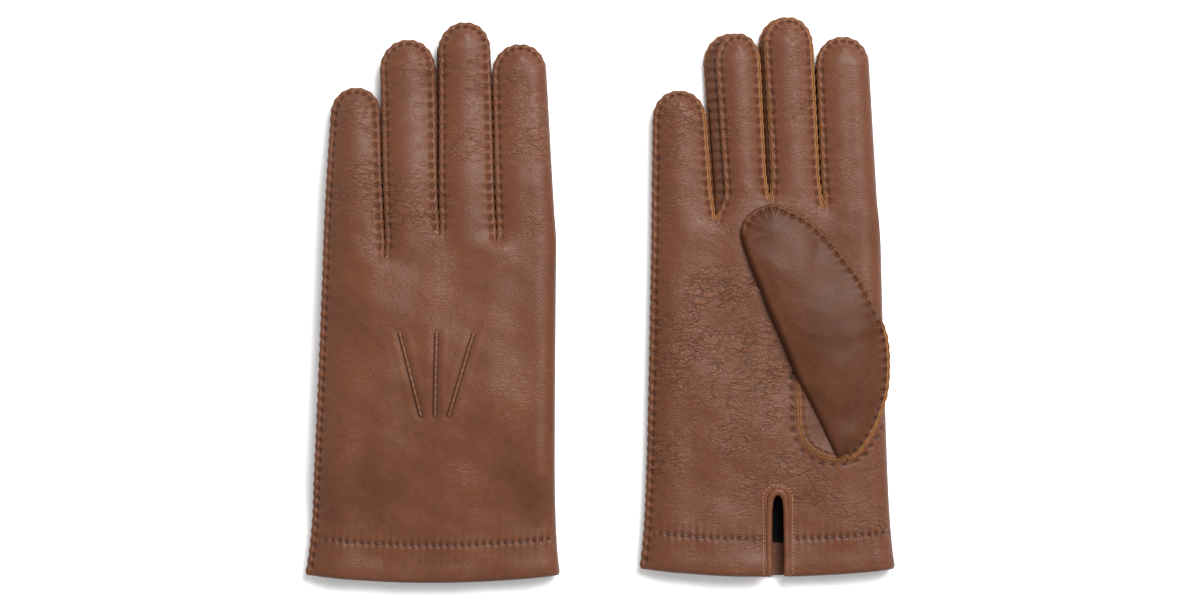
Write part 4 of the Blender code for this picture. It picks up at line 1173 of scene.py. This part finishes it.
# ---------------------------------------------------------------- quirk
# A small grainy triangle fills the corner between the thumb's fold and the palm; its straight side is
# sewn to the palm with its cut edge showing.
for side in TURN:
    run = run_along(QUIRK)
    even = np.linspace(0, run[-1], 110)
    line = np.stack([np.interp(even, run, QUIRK[:, k]) for k in (0, 1)], 1)
    for k in (0, 1):
        padded = np.concatenate([np.full(6, line[0, k]), line[:, k], np.full(6, line[-1, k])])
        line[:, k] = np.convolve(padded, smoothing(13), "valid")
    inward = normals_of(line, -1)
    fold = np.stack([fold_x(line[:, 1]), line[:, 1]], 1)
    target = np.where((fold[:, 0:1] - line[:, 0:1]) > 0, fold + [4.5 * MM, 0], line + [4.5 * MM, 4 * MM])
    pull = np.cos(run_along(line) / STITCH * math.tau)
    place, lift, dark, bright, raw = half_row(line, inward, target, np.ones(len(line)), pull, 14, 1.0, 0.0)
    px, pv = place[..., 0], place[..., 1]
    height = hand_height(side, "palm", px, pv) + 1.7 * MM + lift * 0.9
    height[:, len(SEAM_OUT):] += -0.7 * MM * np.linspace(0, 1, 14)[None, :]
    # The seam's painted shade and painted highlight, with a lighter tone over the whole triangle.
    quirk = grid_object(f"{side}_thumb_quirk_leather", SIDE_LEATHER, [
        {"points": laid(side, "palm", px, pv, height), "painted_shade": dark, "painted_highlight_and_tone": bright + 0.2, "edge": raw,
         "flip": TURN[side] < 0}])
    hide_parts(f"{side}_thumb_quirk")
    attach(quirk, f"{side}_hand")
    run = run_along(line)
    at = np.searchsorted(run, np.arange(1, int(run[-1] / STITCH)) * STITCH)
    spot = line[at] - inward[at] * BASE_AT
    height = hand_height(side, "palm", spot[:, 0], spot[:, 1]) - 0.05 * MM
    sewing = beads(f"{side}_quirk_stitches", laid(side, "palm", spot[:, 0], spot[:, 1], height),
                   level(inward[at]), 1.2 * MM, 0.26 * MM, THREAD)
    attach(sewing, f"{side}_hand")


# ---------------------------------------------------------------- linings
# A black knitted bag lines the hand, and a smaller one each finger and the thumb.  It only shows
# in the vent and through the thumb hole.
def lining_material():
    """Black knit: it takes nearly all the light."""
    made, shader, where = new_material("black_knit", 0.95)
    shader.inputs["Base Color"].default_value = rgb(11, 9, 9)
    shader.inputs["Specular IOR Level"].default_value = 0.08
    knit = where.out("ShaderNodeTexVoronoi", "Distance", {"feature": "F1"}, Vector=where, Scale=1600.0)
    feed(shader, "Normal", where.out("ShaderNodeBump", "Normal", None, Height=knit, Strength=0.6,
                                     Distance=0.0002))
    return made


LINING = lining_material()
LINING_SINK = 1.8 * MM
SEAM_ROOM = 4.6 * MM                  # how far a finger's bag keeps from the finger's edges
AROUND = np.linspace(0, math.tau, 25)
for side in TURN:
    levels = np.linspace(TURNUP_HIGH - 3 * MM, ROOT, 70)
    skins = [inner_grid(side, layer, levels, 60, LINING_SINK, 2.2 * MM) for layer in LAYERS]
    skins[1]["mask"] = off_vent(60, levels, 3 * MM, VENT_TOP + 2 * MM)
    bag = grid_object(f"{side}_hand_lining_bag", LINING, skins)
    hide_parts(f"{side}_lining_hand")
    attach(bag, f"{side}_hand")
    for name in NAMES:
        left, right, tip_start, end = finger_lines(side, name, "palm")
        back_left, back_right, _, _ = finger_lines(side, name, "back")
        v = np.linspace(ROOT - 2 * MM, end - 5 * MM, 64)
        past_tip = (v - tip_start) / (end - 4.8 * MM - tip_start)
        round_tip = np.sqrt(1 - past_tip.clip(0, 1) ** 2)
        below_tip = np.minimum(v, tip_start)
        near = np.maximum(left(below_tip), back_left(below_tip)) + SEAM_ROOM
        far = np.minimum(right(below_tip), back_right(below_tip)) - SEAM_ROOM
        centre, half = (near + far) / 2, (far - near) / 2 * round_tip
        x = centre[:, None] + half[:, None] * np.cos(AROUND)
        v = np.repeat(v[:, None], len(AROUND), 1)
        z = middle_level(side, x, v) + 3.0 * MM * round_tip[:, None] * np.sin(AROUND)
        tube = {"points": placed(side, x, v, z), "flip": True}
        bag = grid_object(f"{side}_{name}_lining_bag", LINING, [tube])
        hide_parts(f"{side}_lining_{name}")
        bend_with(bag, side)
    foot, head = np.array([(35.0, 66.0), (4.0, 152.0)]) * MM
    share = np.linspace(0, 1, 40)
    swell = np.sin(math.pi * (0.06 + 0.88 * share)) ** 0.5
    swell[0] = swell[-1] = 0.02                       # its two ends are drawn shut
    middle = foot + share[:, None] * (head - foot)
    across = np.array([0.94, 0.34])
    wide = (13.0 * MM - 3.5 * MM * share)[:, None] * swell[:, None] * np.cos(AROUND)
    x, v = middle[:, 0:1] + across[0] * wide, middle[:, 1:2] + across[1] * wide
    height = (hand_height(side, "palm", middle[:, 0:1], middle[:, 1:2]) + 2.9 * MM
              + 1.9 * MM * swell[:, None] * np.sin(AROUND))
    z = middle_level(side, middle[:, 0:1], middle[:, 1:2]) + TURN[side] * height
    bag = grid_object(f"{side}_thumb_lining_bag", LINING, [{"points": placed(side, x, v, z)}])
    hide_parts(f"{side}_lining_thumb")
    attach(bag, f"{side}_thumb")


# ---------------------------------------------------------------- table, camera and light
# The pair lies on a white table under one broad soft light from the upper right.
MIDDLE = Vector([(low + high) / 2 for low, high in zip(*cad_box)])
bpy.ops.mesh.primitive_plane_add(size=6, location=(MIDDLE.x, MIDDLE.y, cad_box[0][2] - TABLE_GAP))
table = bpy.context.object
table.name = "white_table"
table.data.materials.append(plain_material("white_table", 0.8, rgb(250, 250, 250)))
view = bpy.data.cameras.new("above")
view.lens = 90
view_object = bpy.data.objects.new("above", view)
view_object.location = (MIDDLE.x, MIDDLE.y, 1.345)
bpy.context.scene.collection.objects.link(view_object)
bpy.context.scene.camera = view_object
lamp = bpy.data.lights.new("window", "AREA")
lamp.size, lamp.energy = 0.80, 35.0
window = bpy.data.objects.new("window", lamp)
window.location = (0.46, 0.66, 1.22)
window.rotation_euler = (-window.location).to_track_quat("-Z", "Y").to_euler()
bpy.context.scene.collection.objects.link(window)
world = bpy.data.worlds.new("pale_room")
world.use_nodes = True
world.node_tree.nodes["Background"].inputs["Color"].default_value = (1, 1, 1, 1)
world.node_tree.nodes["Background"].inputs["Strength"].default_value = 0.72
bpy.context.scene.view_settings.view_transform = "Standard"
bpy.context.scene.world = world
